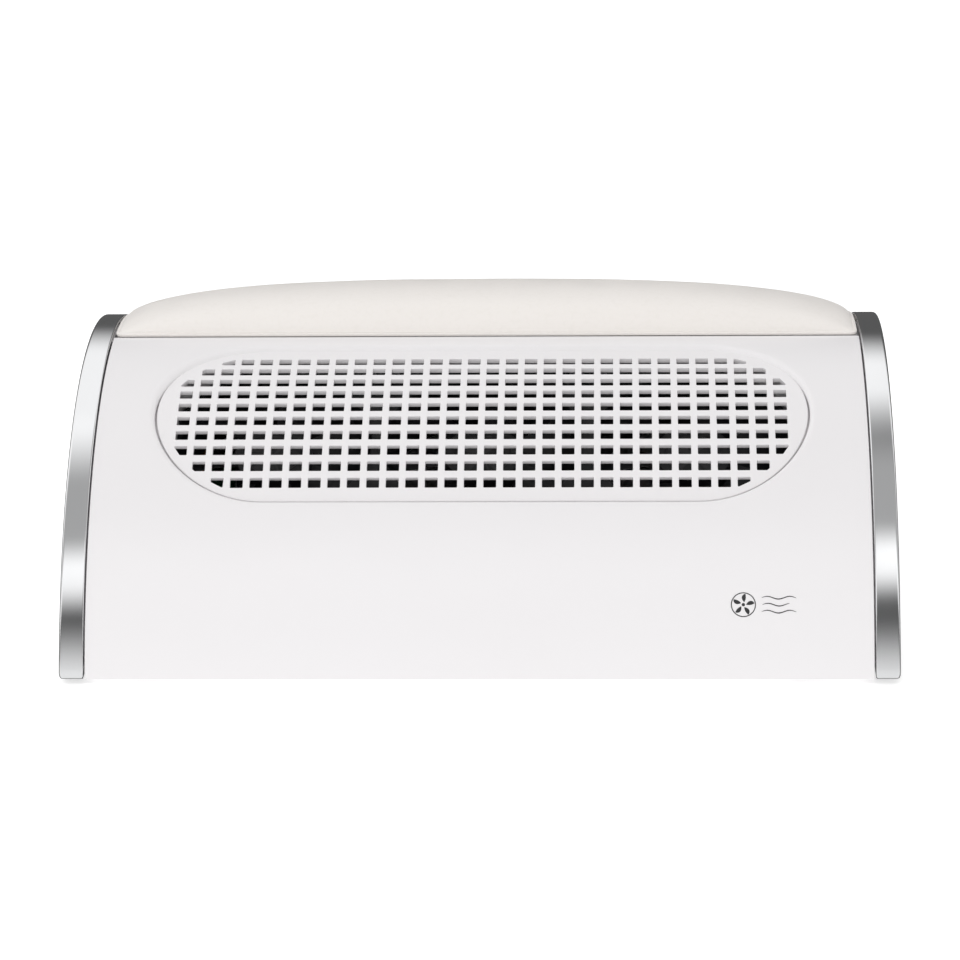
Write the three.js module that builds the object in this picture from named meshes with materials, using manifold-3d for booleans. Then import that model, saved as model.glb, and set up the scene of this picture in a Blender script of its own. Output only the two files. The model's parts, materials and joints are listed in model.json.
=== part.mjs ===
// Nail dust collector: a tabletop extractor with an arched white casing, three fans under a
// perforated grille, a padded hand rest, chrome side trims and a cloth dust bag at the back.
// Millimetres, +X right, +Y back, +Z up. Everything is drawn with y = 0 at the front bottom
// edge, and the group moves it so that the origin lies on the table under the box's middle.
import * as THREE from "three";
import { mergeVertices } from "three/addons/utils/BufferGeometryUtils.js";
import Module from "manifold-3d";

const wasm = await Module();
wasm.setup();
const radians = THREE.MathUtils.degToRad;

// ------------------------------------------------------------------ driving dimensions
const GAP = 0.3; // between two pieces that touch
const WALL = 2.5; // casing thickness
const HALF_WIDTH = 155; // to the outside of a chrome trim
const TRIM_WIDTH = 9;
const TRIM_DEPTH = 5;
const TRIM_EDGE = 1; // chamfer along the trim's outer edges
const BASE_Z = 2.5; // underside of the casing, held up by the feet
const BACK_Y = 222; // outside of the rear panel
const DEPTH = 286; // front edge to the end of the dust bag

const ARC_R = 141.5; // the arched top, over the trims
const ARC_LEAN = radians(24); // the arc leans this far back from vertical at the front edge
const ARC_Y = ARC_R * Math.cos(ARC_LEAN);
const ARC_Z = BASE_Z - ARC_R * Math.sin(ARC_LEAN);
const SHELL_INSET = 0.8; // the white casing lies this far inside the trims
const SHELL_HALF = HALF_WIDTH - TRIM_WIDTH - 0.8; // leaves a shadow gap beside each trim

const SEAT_FROM = radians(2); // the hand rest's recess, as angles on the arc
const SEAT_TO = radians(33);
const SEAT_DEPTH = 3;

const GRILLE = { tilt: radians(20.5), width: 247, height: 84, thick: 2, sunk: 1.4 };
const GRILLE_SHIFT = 0.9; // the insert's outline lies this far up the slope from its holes
const HOLE = { pitch: 7.3, rowPitch: 7.45, width: 4.8, height: 4.4, rows: 10, columns: 32 };
const HOLE_FIELD = { endRadius: 38.9, endCentre: 80.5 }; // no hole lies outside this outline
const THROAT = { width: 238, height: 80.4, wall: 6.5, deckDepth: 17.5 };
const FAN = { size: 80, depth: 25, pitch: 80.5, screwSpacing: 71.5, bore: 77, hub: 31 };
const FANS = ["left", "middle", "right"];

const PAD = { half: 144.8, rise: 13.8, fullness: 2.6, endPower: 2.9, endShare: 0.07 };
const OUTLET = { half: 95, low: 12, high: 40, corner: 8, wall: 2.2, end: 234 };
const BAG = { half: 107, start: 236, wall: 1.2, neckStart: 225 };
const INLET = { x: -122, z: 25, pinSpacing: 8.6, pinRadius: 1.18 };
const SWITCH = { x: 122, z: 27, pivotY: 220, tilt: radians(10) };
const FOOT = { x: 120, ys: [18, 205], radius: 7 };
const BASE_SCREW = { x: 136, ys: [26, 200] };
const REAR_SCREW = { x: 136, z: 40 };
const BOARD = { x: -121.5, y: 157, z: 11, width: 36, length: 64, thick: 1.6 };

// colour, roughness and metalness of each finish
const FINISHES = {
  whiteGloss: { color: 0xefeeec, roughness: 0.28, metalness: 0 },
  chrome: { color: 0xd8dadd, roughness: 0.12, metalness: 1 },
  leather: { color: 0xefebe2, roughness: 0.55, metalness: 0 },
  blackPlastic: { color: 0x17181a, roughness: 0.5, metalness: 0 },
  greyPlastic: { color: 0x8d9094, roughness: 0.55, metalness: 0 },
  steel: { color: 0xa9adb1, roughness: 0.35, metalness: 1 },
  brass: { color: 0xc9a24a, roughness: 0.35, metalness: 1 },
  copper: { color: 0x9c5a33, roughness: 0.45, metalness: 1 },
  boardGreen: { color: 0x1f5a38, roughness: 0.5, metalness: 0 },
  rubber: { color: 0x222222, roughness: 0.85, metalness: 0 },
  bagCloth: { color: 0xe6e4df, roughness: 0.95, metalness: 0 },
  elastic: { color: 0xd9d7d2, roughness: 0.9, metalness: 0 },
};

// ------------------------------------------------------------------ outlines
// Points along a circle round (a, b), with angles from the +b axis towards +a.
function arc(a, b, radius, from, to, steps) {
  return Array.from({ length: steps + 1 }, (_, i) => {
    const angle = from + ((to - from) * i) / steps;
    return new THREE.Vector2(a + radius * Math.sin(angle), b + radius * Math.cos(angle));
  });
}

function roundedRectangle(width, height, corner, a = 0, b = 0, steps = 3) {
  const da = width / 2 - corner;
  const db = height / 2 - corner;
  const quarter = Math.PI / 2;
  const centres = [[da, db], [da, -db], [-da, -db], [-da, db]];
  return centres.flatMap(([ca, cb], i) =>
    arc(a + ca, b + cb, corner, i * quarter, (i + 1) * quarter, steps));
}

function rectangle(width, height, a = 0, b = 0) {
  const [da, db] = [width / 2, height / 2];
  return [[da, db], [da, -db], [-da, -db], [-da, db]].map(([u, v]) =>
    new THREE.Vector2(a + u, b + v));
}

function stadium(width, height, b = 0) {
  return roundedRectangle(width, height, height / 2 - 0.01, 0, b, 8);
}

function circle(radius, a = 0, b = 0, sides = 12) {
  return arc(a, b, radius, 0, 2 * Math.PI, sides).slice(0, -1);
}

// A point of the arched top, a distance inside the trims, at an angle from the crest.
function arcPoint(angle, inset) {
  return arc(ARC_Y, ARC_Z, ARC_R - inset, angle, angle, 1)[0];
}

// The arch from one angle to another, stepping down where the hand rest is let in.
function seatedArch(inset, from, to) {
  const edge = (inset - SHELL_INSET) / ARC_R; // the recess grows with the wall round it
  const low = inset + SEAT_DEPTH;
  return [
    ...arc(ARC_Y, ARC_Z, ARC_R - inset, from, SEAT_FROM - edge, 16),
    ...arc(ARC_Y, ARC_Z, ARC_R - low, SEAT_FROM - edge, SEAT_TO + edge, 8),
    ...arc(ARC_Y, ARC_Z, ARC_R - inset, SEAT_TO + edge, to, 2),
  ];
}

function plainArch(inset, from, to) {
  return arc(ARC_Y, ARC_Z, ARC_R - inset, from, to, 26);
}

// The casing's side view, drawn in (y, z) and shrunk by an inset: toe, arch, back, base.
function sideOutline(inset, arch = plainArch) {
  const radius = ARC_R - inset;
  const base = BASE_Z + inset;
  const back = BACK_Y - inset;
  const round = Math.max(1.2 - inset / 4, 0.4);
  const toe = -Math.acos((base + round - ARC_Z) / (radius - round));
  const heel = Math.asin((back - round - ARC_Y) / (radius - round));
  const corner = (angle, from, to) =>
    arc(ARC_Y + (radius - round) * Math.sin(angle), ARC_Z + (radius - round) * Math.cos(angle),
      round, from, to, 3);
  return [
    ...corner(toe, -Math.PI, toe),
    ...arch(inset, toe, heel).slice(1, -1),
    ...corner(heel, heel, Math.PI / 2),
    new THREE.Vector2(back, base),
  ];
}

// ------------------------------------------------------------------ extruding and turning
function wound(points, clockwise) {
  return THREE.ShapeUtils.isClockWise(points) === clockwise ? points : [...points].reverse();
}

function shapeOf(points, holes = []) {
  const shape = new THREE.Shape(wound(points, false));
  shape.holes = holes.map((hole) => new THREE.Path(wound(hole, true)));
  return shape;
}

function extrude(shape, depth) {
  return new THREE.ExtrudeGeometry(shape, { depth, bevelEnabled: false });
}

// (a, b) drawn in (x, y), raised from z0 to z1
function alongZ(points, z0, z1, holes) {
  return extrude(shapeOf(points, holes), z1 - z0).translate(0, 0, z0);
}

// (a, b) drawn in (x, z), from y0 back to y1
function alongY(points, y0, y1, holes) {
  return extrude(shapeOf(points, holes), y1 - y0).rotateX(Math.PI / 2).translate(0, y1, 0);
}

// (a, b) drawn in (y, z), from x0 to x1
const YZ_TO_X = new THREE.Matrix4().set(0, 0, 1, 0, 1, 0, 0, 0, 0, 1, 0, 0, 0, 0, 0, 1);
function alongX(points, x0, x1, holes) {
  return extrude(shapeOf(points, holes), x1 - x0).applyMatrix4(YZ_TO_X).translate(x0, 0, 0);
}

function box(x0, x1, y0, y1, z0, z1) {
  return new THREE.BoxGeometry(x1 - x0, y1 - y0, z1 - z0)
    .translate((x0 + x1) / 2, (y0 + y1) / 2, (z0 + z1) / 2);
}

// A profile of [radius, z] pairs turned round the Z axis: outwards at the bottom, then up.
function turned(profile, segments) {
  const points = profile.map(([r, z]) => new THREE.Vector2(r, z));
  return new THREE.LatheGeometry(points, segments).rotateX(Math.PI / 2);
}

// ------------------------------------------------------------------ joining and cutting
function solid(geometry) {
  const bare = geometry.index ? geometry.toNonIndexed() : geometry.clone();
  bare.deleteAttribute("normal");
  bare.deleteAttribute("uv");
  const merged = mergeVertices(bare, 1e-4);
  return new wasm.Manifold(new wasm.Mesh({
    numProp: 3,
    vertProperties: merged.attributes.position.array,
    triVerts: new Uint32Array(merged.index.array),
  }));
}

function geometryOf(made) {
  const { vertProperties, triVerts } = made.getMesh();
  const geometry = new THREE.BufferGeometry();
  geometry.setAttribute("position", new THREE.BufferAttribute(vertProperties, 3));
  geometry.setIndex(new THREE.BufferAttribute(triVerts, 1));
  return geometry;
}

function join(...geometries) {
  return geometries.map(solid).reduce((whole, piece) => whole.add(piece));
}

function cut(whole, ...geometries) {
  return geometries.map(solid).reduce((rest, tool) => rest.subtract(tool), whole);
}

// ------------------------------------------------------------------ the frame of grille and fans
// Its origin is the arch's surface at the grille's middle, with +Z out of the surface.
const tilted = new THREE.Group();
tilted.position.set(0, ...arcPoint(-GRILLE.tilt, 0).toArray());
tilted.rotation.x = GRILLE.tilt;
tilted.updateMatrix();

// The part of the tilted frame under the arch, sunk by an inset; facets match the hole rows.
const ROW_ANGLE = HOLE.rowPitch / (ARC_R - SHELL_INSET - GRILLE.sunk);
function archInTiltedFrame(inset, from = -7, to = 7) {
  return arc(0, -ARC_R, ARC_R - inset, from * ROW_ANGLE, to * ROW_ANGLE, 14);
}
function underArch(inset) {
  const reach = 150;
  const arch = archInTiltedFrame(inset);
  const floor = [new THREE.Vector2(arch[14].x, -reach), new THREE.Vector2(arch[0].x, -reach)];
  return alongX([...arch, ...floor], -reach, reach);
}

// ------------------------------------------------------------------ casing
function upperShell() {
  const surface = (inset) => {
    const toe = -Math.acos((BASE_Z + GAP - ARC_Z) / (ARC_R - inset));
    const heel = Math.asin((BACK_Y - WALL - GAP - ARC_Y) / (ARC_R - inset));
    return seatedArch(inset, toe, heel);
  };
  const section = [...surface(SHELL_INSET), ...surface(SHELL_INSET + WALL).reverse()];
  const skin = solid(alongX(section, -SHELL_HALF, SHELL_HALF));

  const placed = (geometry) => solid(geometry.applyMatrix4(tilted.matrix));
  const { width, height, wall, deckDepth } = THROAT;
  const ledge = SHELL_INSET + GRILLE.sunk + GRILLE.thick + GAP;
  const pocketOutline = stadium(GRILLE.width + 1.4, GRILLE.height + 1.4, GRILLE_SHIFT);
  const pocket = placed(alongZ(pocketOutline, -20, 4)).subtract(placed(underArch(ledge)));
  const throatOutline = stadium(width + 2 * wall, height + 2 * wall, GRILLE_SHIFT);
  const throatBottom = GAP - deckDepth;
  const bore = placed(alongZ(stadium(width, height, GRILLE_SHIFT), throatBottom - 1, 4));
  const underSkin = placed(underArch(SHELL_INSET + 1));
  const throat = placed(alongZ(throatOutline, throatBottom, 4)).intersect(underSkin);
  const bosses = deckScrewPlaces().map(([u, v]) =>
    placed(alongZ(circle(4, u, v), throatBottom, 4, [circle(1.6, u, v, 8)])).intersect(underSkin));
  const shell = [throat, ...bosses].reduce((whole, piece) => whole.add(piece), skin)
    .subtract(bore).subtract(pocket);

  return geometryOf(cut(shell, ...handRestScrewHoles(2.2)));
}

function baseTray() {
  const top = BASE_Z + WALL;
  const plate = alongZ(roundedRectangle(2 * SHELL_HALF, BACK_Y - 8.2, 2, 0, BACK_Y / 2 + 1.3),
    BASE_Z, top);
  const posts = boardCorners().map(([x, y]) =>
    new THREE.CylinderGeometry(2.5, 2.5, BOARD.z - GAP - BASE_Z - 1, 8)
      .rotateX(Math.PI / 2).translate(x, y, (BOARD.z - GAP + BASE_Z + 1) / 2));
  const ribs = [48, 84].map((y) => box(-110, 110, y - 0.8, y + 0.8, top - 1, top + 3));
  const footHoles = footPlaces().map(([x, y]) => alongZ(circle(2.6, x, y, 10), 0, 9));
  const screwHoles = baseScrewPlaces().flatMap(([x, y]) => [
    alongZ(circle(3.4, x, y, 10), 0, BASE_Z + 1.2),
    alongZ(circle(1.9, x, y, 8), 0, 9),
  ]);
  return geometryOf(cut(join(plate, ...posts, ...ribs), ...footHoles, ...screwHoles));
}

// A side panel is a plate inside the casing's end with a raised field that the trim surrounds.
function sidePanel(side) {
  const between = (near, far) => [side * near, side * far].sort((p, q) => p - q);
  const inner = HALF_WIDTH - TRIM_WIDTH - GAP;
  const plateOutline = sideOutline(SHELL_INSET + WALL + GAP, seatedArch);
  const plate = alongX(plateOutline, ...between(inner - 3.2, inner));
  const field = alongX(sideOutline(TRIM_DEPTH + GAP), ...between(inner - 0.2, HALF_WIDTH - 3));
  const blockX = between(BASE_SCREW.x - 6, inner - 2);
  const low = BASE_Z + WALL + GAP;
  const baseBlocks = BASE_SCREW.ys.map((y) => box(...blockX, y - 6, y + 6, low, 16));
  const rearEnd = BACK_Y - WALL - GAP;
  const rearBlock = box(...blockX, rearEnd - 13, rearEnd, REAR_SCREW.z - 5, REAR_SCREW.z + 5);
  const whole = join(plate, field, ...baseBlocks, rearBlock);
  const baseBores = BASE_SCREW.ys.map((y) =>
    alongZ(circle(1.9, side * BASE_SCREW.x, y, 8), 0, 14));
  const rearBore = alongY(circle(1.9, side * REAR_SCREW.x, REAR_SCREW.z, 8), rearEnd - 11, BACK_Y);
  return geometryOf(cut(whole, ...baseBores, rearBore));
}

// A chrome trim is a closed band round the casing's end, chamfered along its edges.
function chromeTrim(side) {
  const bevel = { bevelSegments: 1, bevelThickness: TRIM_EDGE, bevelSize: TRIM_EDGE };
  const shape = shapeOf(sideOutline(0), [sideOutline(TRIM_DEPTH)]);
  const depth = TRIM_WIDTH - 2 * TRIM_EDGE;
  const band = new THREE.ExtrudeGeometry(shape, { depth, ...bevel, bevelOffset: -TRIM_EDGE });
  const middle = side * (HALF_WIDTH - TRIM_WIDTH / 2);
  return band.applyMatrix4(YZ_TO_X).translate(middle - depth / 2, 0, 0);
}

function rearPanel() {
  const top = ARC_Z + Math.sqrt((ARC_R - SHELL_INSET) ** 2 - (BACK_Y - ARC_Y) ** 2);
  const bottom = BASE_Z + GAP;
  const height = top - bottom;
  const outline = roundedRectangle(2 * SHELL_HALF, height, 1.5, 0, (top + bottom) / 2);
  const { half, low, high, corner } = OUTLET;
  const slack = 0.4;
  const openings = [
    roundedRectangle(2 * (half + slack), high - low + 2 * slack, corner, 0, (low + high) / 2),
    rectangle(13.4, 19.4, SWITCH.x, SWITCH.z),
    rectangle(20.8, 12.4, INLET.x, INLET.z),
    ...[-1, 1].map((side) => circle(1.9, side * REAR_SCREW.x, REAR_SCREW.z, 8)),
  ];
  return alongY(outline, BACK_Y - WALL, BACK_Y, openings);
}

// ------------------------------------------------------------------ grille
function holeShapes() {
  const radius = HOLE.rowPitch / ROW_ANGLE;
  const shapes = [];
  for (let row = 0; row < HOLE.rows; row += 1) {
    const angle = (row - (HOLE.rows - 1) / 2) * ROW_ANGLE;
    const v = radius * Math.sin(angle);
    const height = HOLE.height * Math.cos(angle);
    for (let column = 0; column < HOLE.columns; column += 1) {
      const u = (column - (HOLE.columns - 1) / 2) * HOLE.pitch;
      const corner = new THREE.Vector2(Math.abs(u) - HOLE.width / 2, Math.abs(v) - height / 2);
      const beyondEnd = new THREE.Vector2(Math.max(corner.x - HOLE_FIELD.endCentre, 0), corner.y);
      if (beyondEnd.length() > HOLE_FIELD.endRadius - 1.5) continue;
      shapes.push(shapeOf(rectangle(HOLE.width, height, u, v)));
    }
  }
  return shapes;
}

function grilleInsert() {
  const outer = SHELL_INSET + GRILLE.sunk;
  const band = [...archInTiltedFrame(outer), ...archInTiltedFrame(outer + GRILLE.thick, 7, -7)];
  const outline = stadium(GRILLE.width, GRILLE.height, GRILLE_SHIFT);
  const plate = solid(alongX(band, -GRILLE.width, GRILLE.width))
    .intersect(solid(alongZ(outline, -20, 4)));
  const { endRadius, endCentre } = HOLE_FIELD;
  const field = solid(alongZ(stadium(2 * (endCentre + endRadius), 2 * endRadius), -20, 4));
  const holes = solid(extrude(holeShapes(), 24).translate(0, 0, -20)).intersect(field);

  const underside = solid(underArch(outer + GRILLE.thick / 2));
  return geometryOf(grilleClips().reduce(
    (insert, clip) => insert.add(solid(alongZ(clip, -13.5, 4)).intersect(underside)),
    plate.subtract(holes)));
}

// Outlines of the six clips that hold the insert in the throat.
function grilleClips() {
  const inset = 1.8;
  const endU = THROAT.width / 2 - inset;
  const sideV = THROAT.height / 2 - inset;
  return [-1, 1].flatMap((side) => [
    rectangle(1.6, 12, side * endU, GRILLE_SHIFT),
    rectangle(12, 1.6, -70, GRILLE_SHIFT + side * sideV),
    rectangle(12, 1.6, 70, GRILLE_SHIFT + side * sideV),
  ]);
}

// ------------------------------------------------------------------ fans and their deck
function deckScrewPlaces() {
  return [-122, 122].flatMap((u) => [-43, 43].map((v) => [u, v]));
}

function fanScrewPlaces() {
  const s = FAN.screwSpacing / 2;
  return [[-s, -s], [s, -s], [s, s], [-s, s]];
}

function fanDeck() {
  const top = -THROAT.deckDepth;
  const offsets = FANS.map((_, i) => (i - 1) * FAN.pitch);
  const holes = [
    ...offsets.map((u) => circle(38, u, 0, 24)),
    ...offsets.flatMap((u) => fanScrewPlaces().map(([du, v]) => circle(2.4, u + du, v, 6))),
    ...deckScrewPlaces().map(([u, v]) => circle(1.8, u, v, 6)),
  ];
  return alongZ(roundedRectangle(254, 96, 5), top - WALL, top, holes);
}

// Each fan piece is drawn with z = 0 on the fan's upper face.
function fanFrame() {
  const { size, depth, bore, hub } = FAN;
  const screwHoles = fanScrewPlaces().map(([x, y]) => circle(2.4, x, y, 6));
  const flange = (z) => alongZ(roundedRectangle(size, size, 4, 0, 0, 1), z, z + 4, screwHoles);
  const tube = alongZ(circle(size / 2 - 0.1, 0, 0, 20), -depth + 1, -1);
  const frame = cut(join(flange(-4), flange(-depth), tube),
    alongZ(circle(bore / 2, 0, 0, 20), -depth - 1, 1));
  const hubDisc = alongZ(circle(hub / 2, 0, 0, 12), -depth, -depth + 3);
  const strut = () => box(hub / 2 - 1, bore / 2 + 0.5, -2, 2, -depth, -depth + 3);
  const struts = [20, 110, 200, 290].map((angle) => strut().rotateZ(radians(angle)));
  return geometryOf(frame.add(join(hubDisc, ...struts)));
}

function fanStator() {
  const bottom = GAP + 3 - FAN.depth;
  return turned([
    [1.9, bottom], [12, bottom], [12, bottom + 1.5], [9.5, bottom + 1.5],
    [9.5, bottom + 11], [4, bottom + 11], [4, bottom + 13], [1.9, bottom + 13], [1.9, bottom],
  ], 14);
}

// A blade is a flat bar laid outwards from the hub and twisted flatter towards its tip.
function fanBlade(turn) {
  const root = 13.6;
  const reach = 22;
  const bar = new THREE.ExtrudeGeometry(shapeOf(rectangle(18, 1.3)),
    { depth: reach, steps: 2, bevelEnabled: false });
  const at = bar.attributes.position;
  for (let i = 0; i < at.count; i += 1) {
    const out = at.getZ(i) / reach;
    const pitch = radians(42 - 16 * out);
    const chord = at.getX(i) * (1 + 0.2 * out);
    const thick = at.getY(i);
    const across = chord * Math.cos(pitch) - thick * Math.sin(pitch);
    const up = chord * Math.sin(pitch) + thick * Math.cos(pitch);
    at.setXYZ(i, root + at.getZ(i), across, up);
  }
  return bar.translate(0, 0, -11.5).rotateZ(turn);
}

function fanRotor() {
  const top = -3;
  const rim = 3 + 2 - FAN.depth;
  const hub = turned([
    [0, rim], [1.5, rim], [1.5, top - 2.5], [12.7, top - 2.5], [12.7, rim],
    [15, rim], [15, top], [0, top],
  ], 14);
  const blades = Array.from({ length: 7 }, (_, i) => fanBlade((i * 2 * Math.PI) / 7));
  return geometryOf(join(hub, ...blades));
}

// A pan-head screw hanging from its head's underside at z = 0.
function screw(headRadius, headHeight, shankRadius, length) {
  return turned([
    [0, -length], [shankRadius, -length], [shankRadius, 0], [headRadius, 0],
    [headRadius, headHeight], [0, headHeight],
  ], 8);
}

// ------------------------------------------------------------------ hand rest
const HAND_REST_MIDDLE = (SEAT_FROM + SEAT_TO) / 2;
const HAND_REST_SCREW_X = 90;

// Holes straight through the seat, square to the arch, for the two screws from below.
function handRestScrewHoles(radius) {
  return [-HAND_REST_SCREW_X, HAND_REST_SCREW_X].map((x) => {
    const hole = alongZ(circle(radius, 0, 0, 8), -12, 2);
    const { x: y, y: z } = arcPoint(HAND_REST_MIDDLE, 0);
    return hole.rotateX(-HAND_REST_MIDDLE).translate(x, y, z);
  });
}

function handRestBoard() {
  const margin = radians(0.6);
  const [from, to] = [SEAT_FROM + margin, SEAT_TO - margin];
  const low = SHELL_INSET + SEAT_DEPTH - GAP;
  const band = [
    ...arc(ARC_Y, ARC_Z, ARC_R - low + 3, from, to, 8),
    ...arc(ARC_Y, ARC_Z, ARC_R - low, to, from, 8),
  ];
  return geometryOf(cut(join(alongX(band, 1 - PAD.half, PAD.half - 1)), ...handRestScrewHoles(1.9)));
}

// The pad bulges from the board as a flattened half ellipse that sinks towards both ends.
function handRestPad() {
  const base = ARC_R - SHELL_INSET - SEAT_DEPTH + 3 + 2 * GAP;
  const margin = radians(0.3);
  const halfAngle = (SEAT_TO - SEAT_FROM) / 2 - margin;
  const steps = 18;
  const top = Array.from({ length: steps + 1 }, (_, i) => {
    const along = -Math.cos((Math.PI * i) / steps);
    const lift = PAD.rise * (1 - Math.abs(along) ** PAD.fullness) ** (1 / PAD.fullness);
    return arcPoint(HAND_REST_MIDDLE + along * halfAngle, ARC_R - base - lift);
  });
  const bottom = arc(ARC_Y, ARC_Z, base,
    HAND_REST_MIDDLE + halfAngle, HAND_REST_MIDDLE - halfAngle, 8).slice(1, -1);

  const pad = new THREE.ExtrudeGeometry(shapeOf([...top, ...bottom]),
    { depth: 2, steps: 32, bevelEnabled: false }).applyMatrix4(YZ_TO_X).translate(-1, 0, 0);
  const points = pad.getAttribute("position");
  for (let i = 0; i < points.count; i += 1) {
    const across = Math.sin((points.getX(i) * Math.PI) / 2);
    const sink = Math.max((1 - Math.abs(across) ** PAD.endPower) ** 0.5, PAD.endShare);
    const [dy, dz] = [points.getY(i) - ARC_Y, points.getZ(i) - ARC_Z];
    const radius = Math.hypot(dy, dz);
    const scale = radius > base ? (base + (radius - base) * sink) / radius : 1;
    points.setXYZ(i, across * PAD.half, ARC_Y + dy * scale, ARC_Z + dz * scale);
  }
  return pad;
}

// ------------------------------------------------------------------ outlet and dust bag
function ring(half, low, high, corner, wall, y0, y1) {
  const outline = (grow) => roundedRectangle(2 * (half + grow), high - low + 2 * grow,
    corner + grow, 0, (low + high) / 2, 4);
  return alongY(outline(wall), y0, y1, [outline(0)]);
}

function outletCollar() {
  const { half, low, high, corner, wall, end } = OUTLET;
  const bore = [half - wall, low + wall, high - wall, corner - wall];
  const tube = ring(...bore, wall, BACK_Y - 4, end);
  const flange = ring(...bore, wall + 4, BACK_Y + GAP, BACK_Y + GAP + 2);
  const lip = ring(...bore, wall + 1.5, end - 2.5, end);
  return geometryOf(join(tube, flange, lip));
}

// The bag's side view in (y, z): full next to the outlet, sagging towards its end.
function bagSide(inset) {
  const high = 44 - inset;
  const low = 0.8 + inset;
  const front = BAG.start + inset;
  const end = DEPTH - inset;
  return [
    [front, low + 6], [front + 6, low], [end - 6, low], [end, low + 6],
    [end, high - 17], [end - 8, high - 9], [front + 6, high], [front, high - 3],
  ].map(([y, z]) => new THREE.Vector2(y, z));
}

const NECK = { half: OUTLET.half + 1.9, low: OUTLET.low - 1.9, high: OUTLET.high + 1.9, corner: 9.5 };

function dustBag() {
  const { half, low, high, corner } = NECK;
  const mouth = roundedRectangle(2 * half, high - low, corner, 0, (low + high) / 2, 4);
  const neck = ring(half, low, high, corner, BAG.wall, BAG.neckStart, BAG.start + 4);
  const outside = alongX(bagSide(0), -BAG.half, BAG.half);
  const inside = alongX(bagSide(BAG.wall), BAG.wall - BAG.half, BAG.half - BAG.wall);
  return geometryOf(cut(join(outside, neck), inside,
    alongY(mouth, BAG.neckStart - 1, BAG.start + 4)));
}

function dustBagElastic() {
  const grow = BAG.wall + GAP;
  const { half, low, high, corner } = NECK;
  return ring(half + grow, low - grow, high + grow, corner + grow, 1.6, 226, 230);
}

// ------------------------------------------------------------------ switch and mains inlet
function switchBody() {
  const { x, z } = SWITCH;
  const face = BACK_Y + GAP;
  const flange = alongY(roundedRectangle(15, 21, 1.2, x, z), face, face + 2);
  const housing = box(x - 6.3, x + 6.3, face - 14, face + 1, z - 9.3, z + 9.3);
  const blade = (dz) => box(x - 2.4, x + 2.4, face - 21, face - 13, z + dz - 0.4, z + dz + 0.4);
  const pocket = box(x - 5, x + 5, face - 10, face + 3, z - 7.9, z + 7.9);
  return geometryOf(cut(join(flange, housing, blade(-5), blade(5)), pocket));
}

// The rocker rests with its upper half out; its origin is the pivot.
function switchRocker() {
  const profile = [
    [6.6, -6.2], [4.8, 0], [6.6, 6.2], [0, 5.6], [-3, 2], [-3, -2], [0, -5.6],
  ].map(([y, z]) => new THREE.Vector2(y, z));
  return alongX(profile, -4.6, 4.6).rotateX(-SWITCH.tilt);
}

function inletBody() {
  const { x, z, pinSpacing } = INLET;
  const face = BACK_Y + GAP;
  const flange = alongY(roundedRectangle(25, 16, 2.5, x, z), face, face + 1.6);
  const housing = box(x - 10, x + 10, face - 17, face + 1, z - 5.8, z + 5.8);
  const socket = alongY(roundedRectangle(16, 8.4, 4.1, x, z, 4), face - 11, face + 3);
  const pinHoles = [-1, 1].map((side) =>
    alongY(circle(1.5, x + (side * pinSpacing) / 2, z, 8), face - 20, face));
  return geometryOf(cut(join(flange, housing), socket, ...pinHoles));
}

function inletPin() {
  return new THREE.CylinderGeometry(INLET.pinRadius, INLET.pinRadius, 22, 8);
}

// ------------------------------------------------------------------ electronics
function boardCorners() {
  const { x, y, width, length } = BOARD;
  return [-1, 1].flatMap((a) =>
    [-1, 1].map((b) => [x + a * (width / 2 - 4), y + b * (length / 2 - 4)]));
}

function powerBoard() {
  const { x, y, z, width, length, thick } = BOARD;
  const plate = roundedRectangle(width, length, 1, x, y, 1);
  const board = alongZ(plate, z, z + thick);
  const top = z + thick - 0.2;
  const connectors = [
    box(x + 8, x + 16, y - 14, y - 4, top, top + 6),
    box(x - 15, x - 7, y + 16, y + 24, top, top + 7),
  ];
  return geometryOf(join(board, ...connectors));
}

function transformer() {
  const floor = BOARD.z + BOARD.thick + GAP;
  const core = box(-11, 11, -6, 6, floor, floor + 17);
  const winding = box(-8, 8, -10, 10, floor + 1, floor + 13);
  const tape = box(-8.5, 8.5, -10.5, 10.5, floor + 4, floor + 11);
  return geometryOf(join(core, winding, tape));
}

function capacitor() {
  return turned([
    [0, 0], [5.6, 0], [6, 0.6], [6, 2], [5.5, 2.6], [6, 3.2], [6, 17.4], [5.4, 18], [0, 18],
  ], 14);
}

// The lead from the board to the fans, clipped along the back of the fan row.
function fanHarness() {
  const route = new THREE.CatmullRomCurve3([
    [-109, 150, 20], [-109, 150, 30], [-108, 143, 44], [-100, 137, 53], [-84, 136, 55],
    [0, 136, 55], [84, 136, 55],
  ].map(([x, y, z]) => new THREE.Vector3(x, y, z)));
  return new THREE.ExtrudeGeometry(shapeOf(circle(1.5, 0, 0, 6)), { steps: 18, extrudePath: route });
}

// ------------------------------------------------------------------ feet and their places
function footPlaces() {
  return [-1, 1].flatMap((side) => FOOT.ys.map((y) => [side * FOOT.x, y]));
}

function baseScrewPlaces() {
  return [-1, 1].flatMap((side) => BASE_SCREW.ys.map((y) => [side * BASE_SCREW.x, y]));
}

function foot() {
  const top = BASE_Z - GAP;
  return turned([
    [0, 0], [FOOT.radius - 0.6, 0], [FOOT.radius, 0.6], [FOOT.radius, top],
    [2.2, top], [2.2, top + 4.2], [0, top + 4.2],
  ], 12);
}

// ------------------------------------------------------------------ assembly
const casing = new THREE.Group();

function add(parent, name, geometry, finish, x = 0, y = 0, z = 0) {
  const mesh = new THREE.Mesh(geometry, new THREE.MeshStandardMaterial(FINISHES[finish]));
  mesh.name = name;
  mesh.position.set(x, y, z);
  parent.add(mesh);
  return mesh;
}

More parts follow.
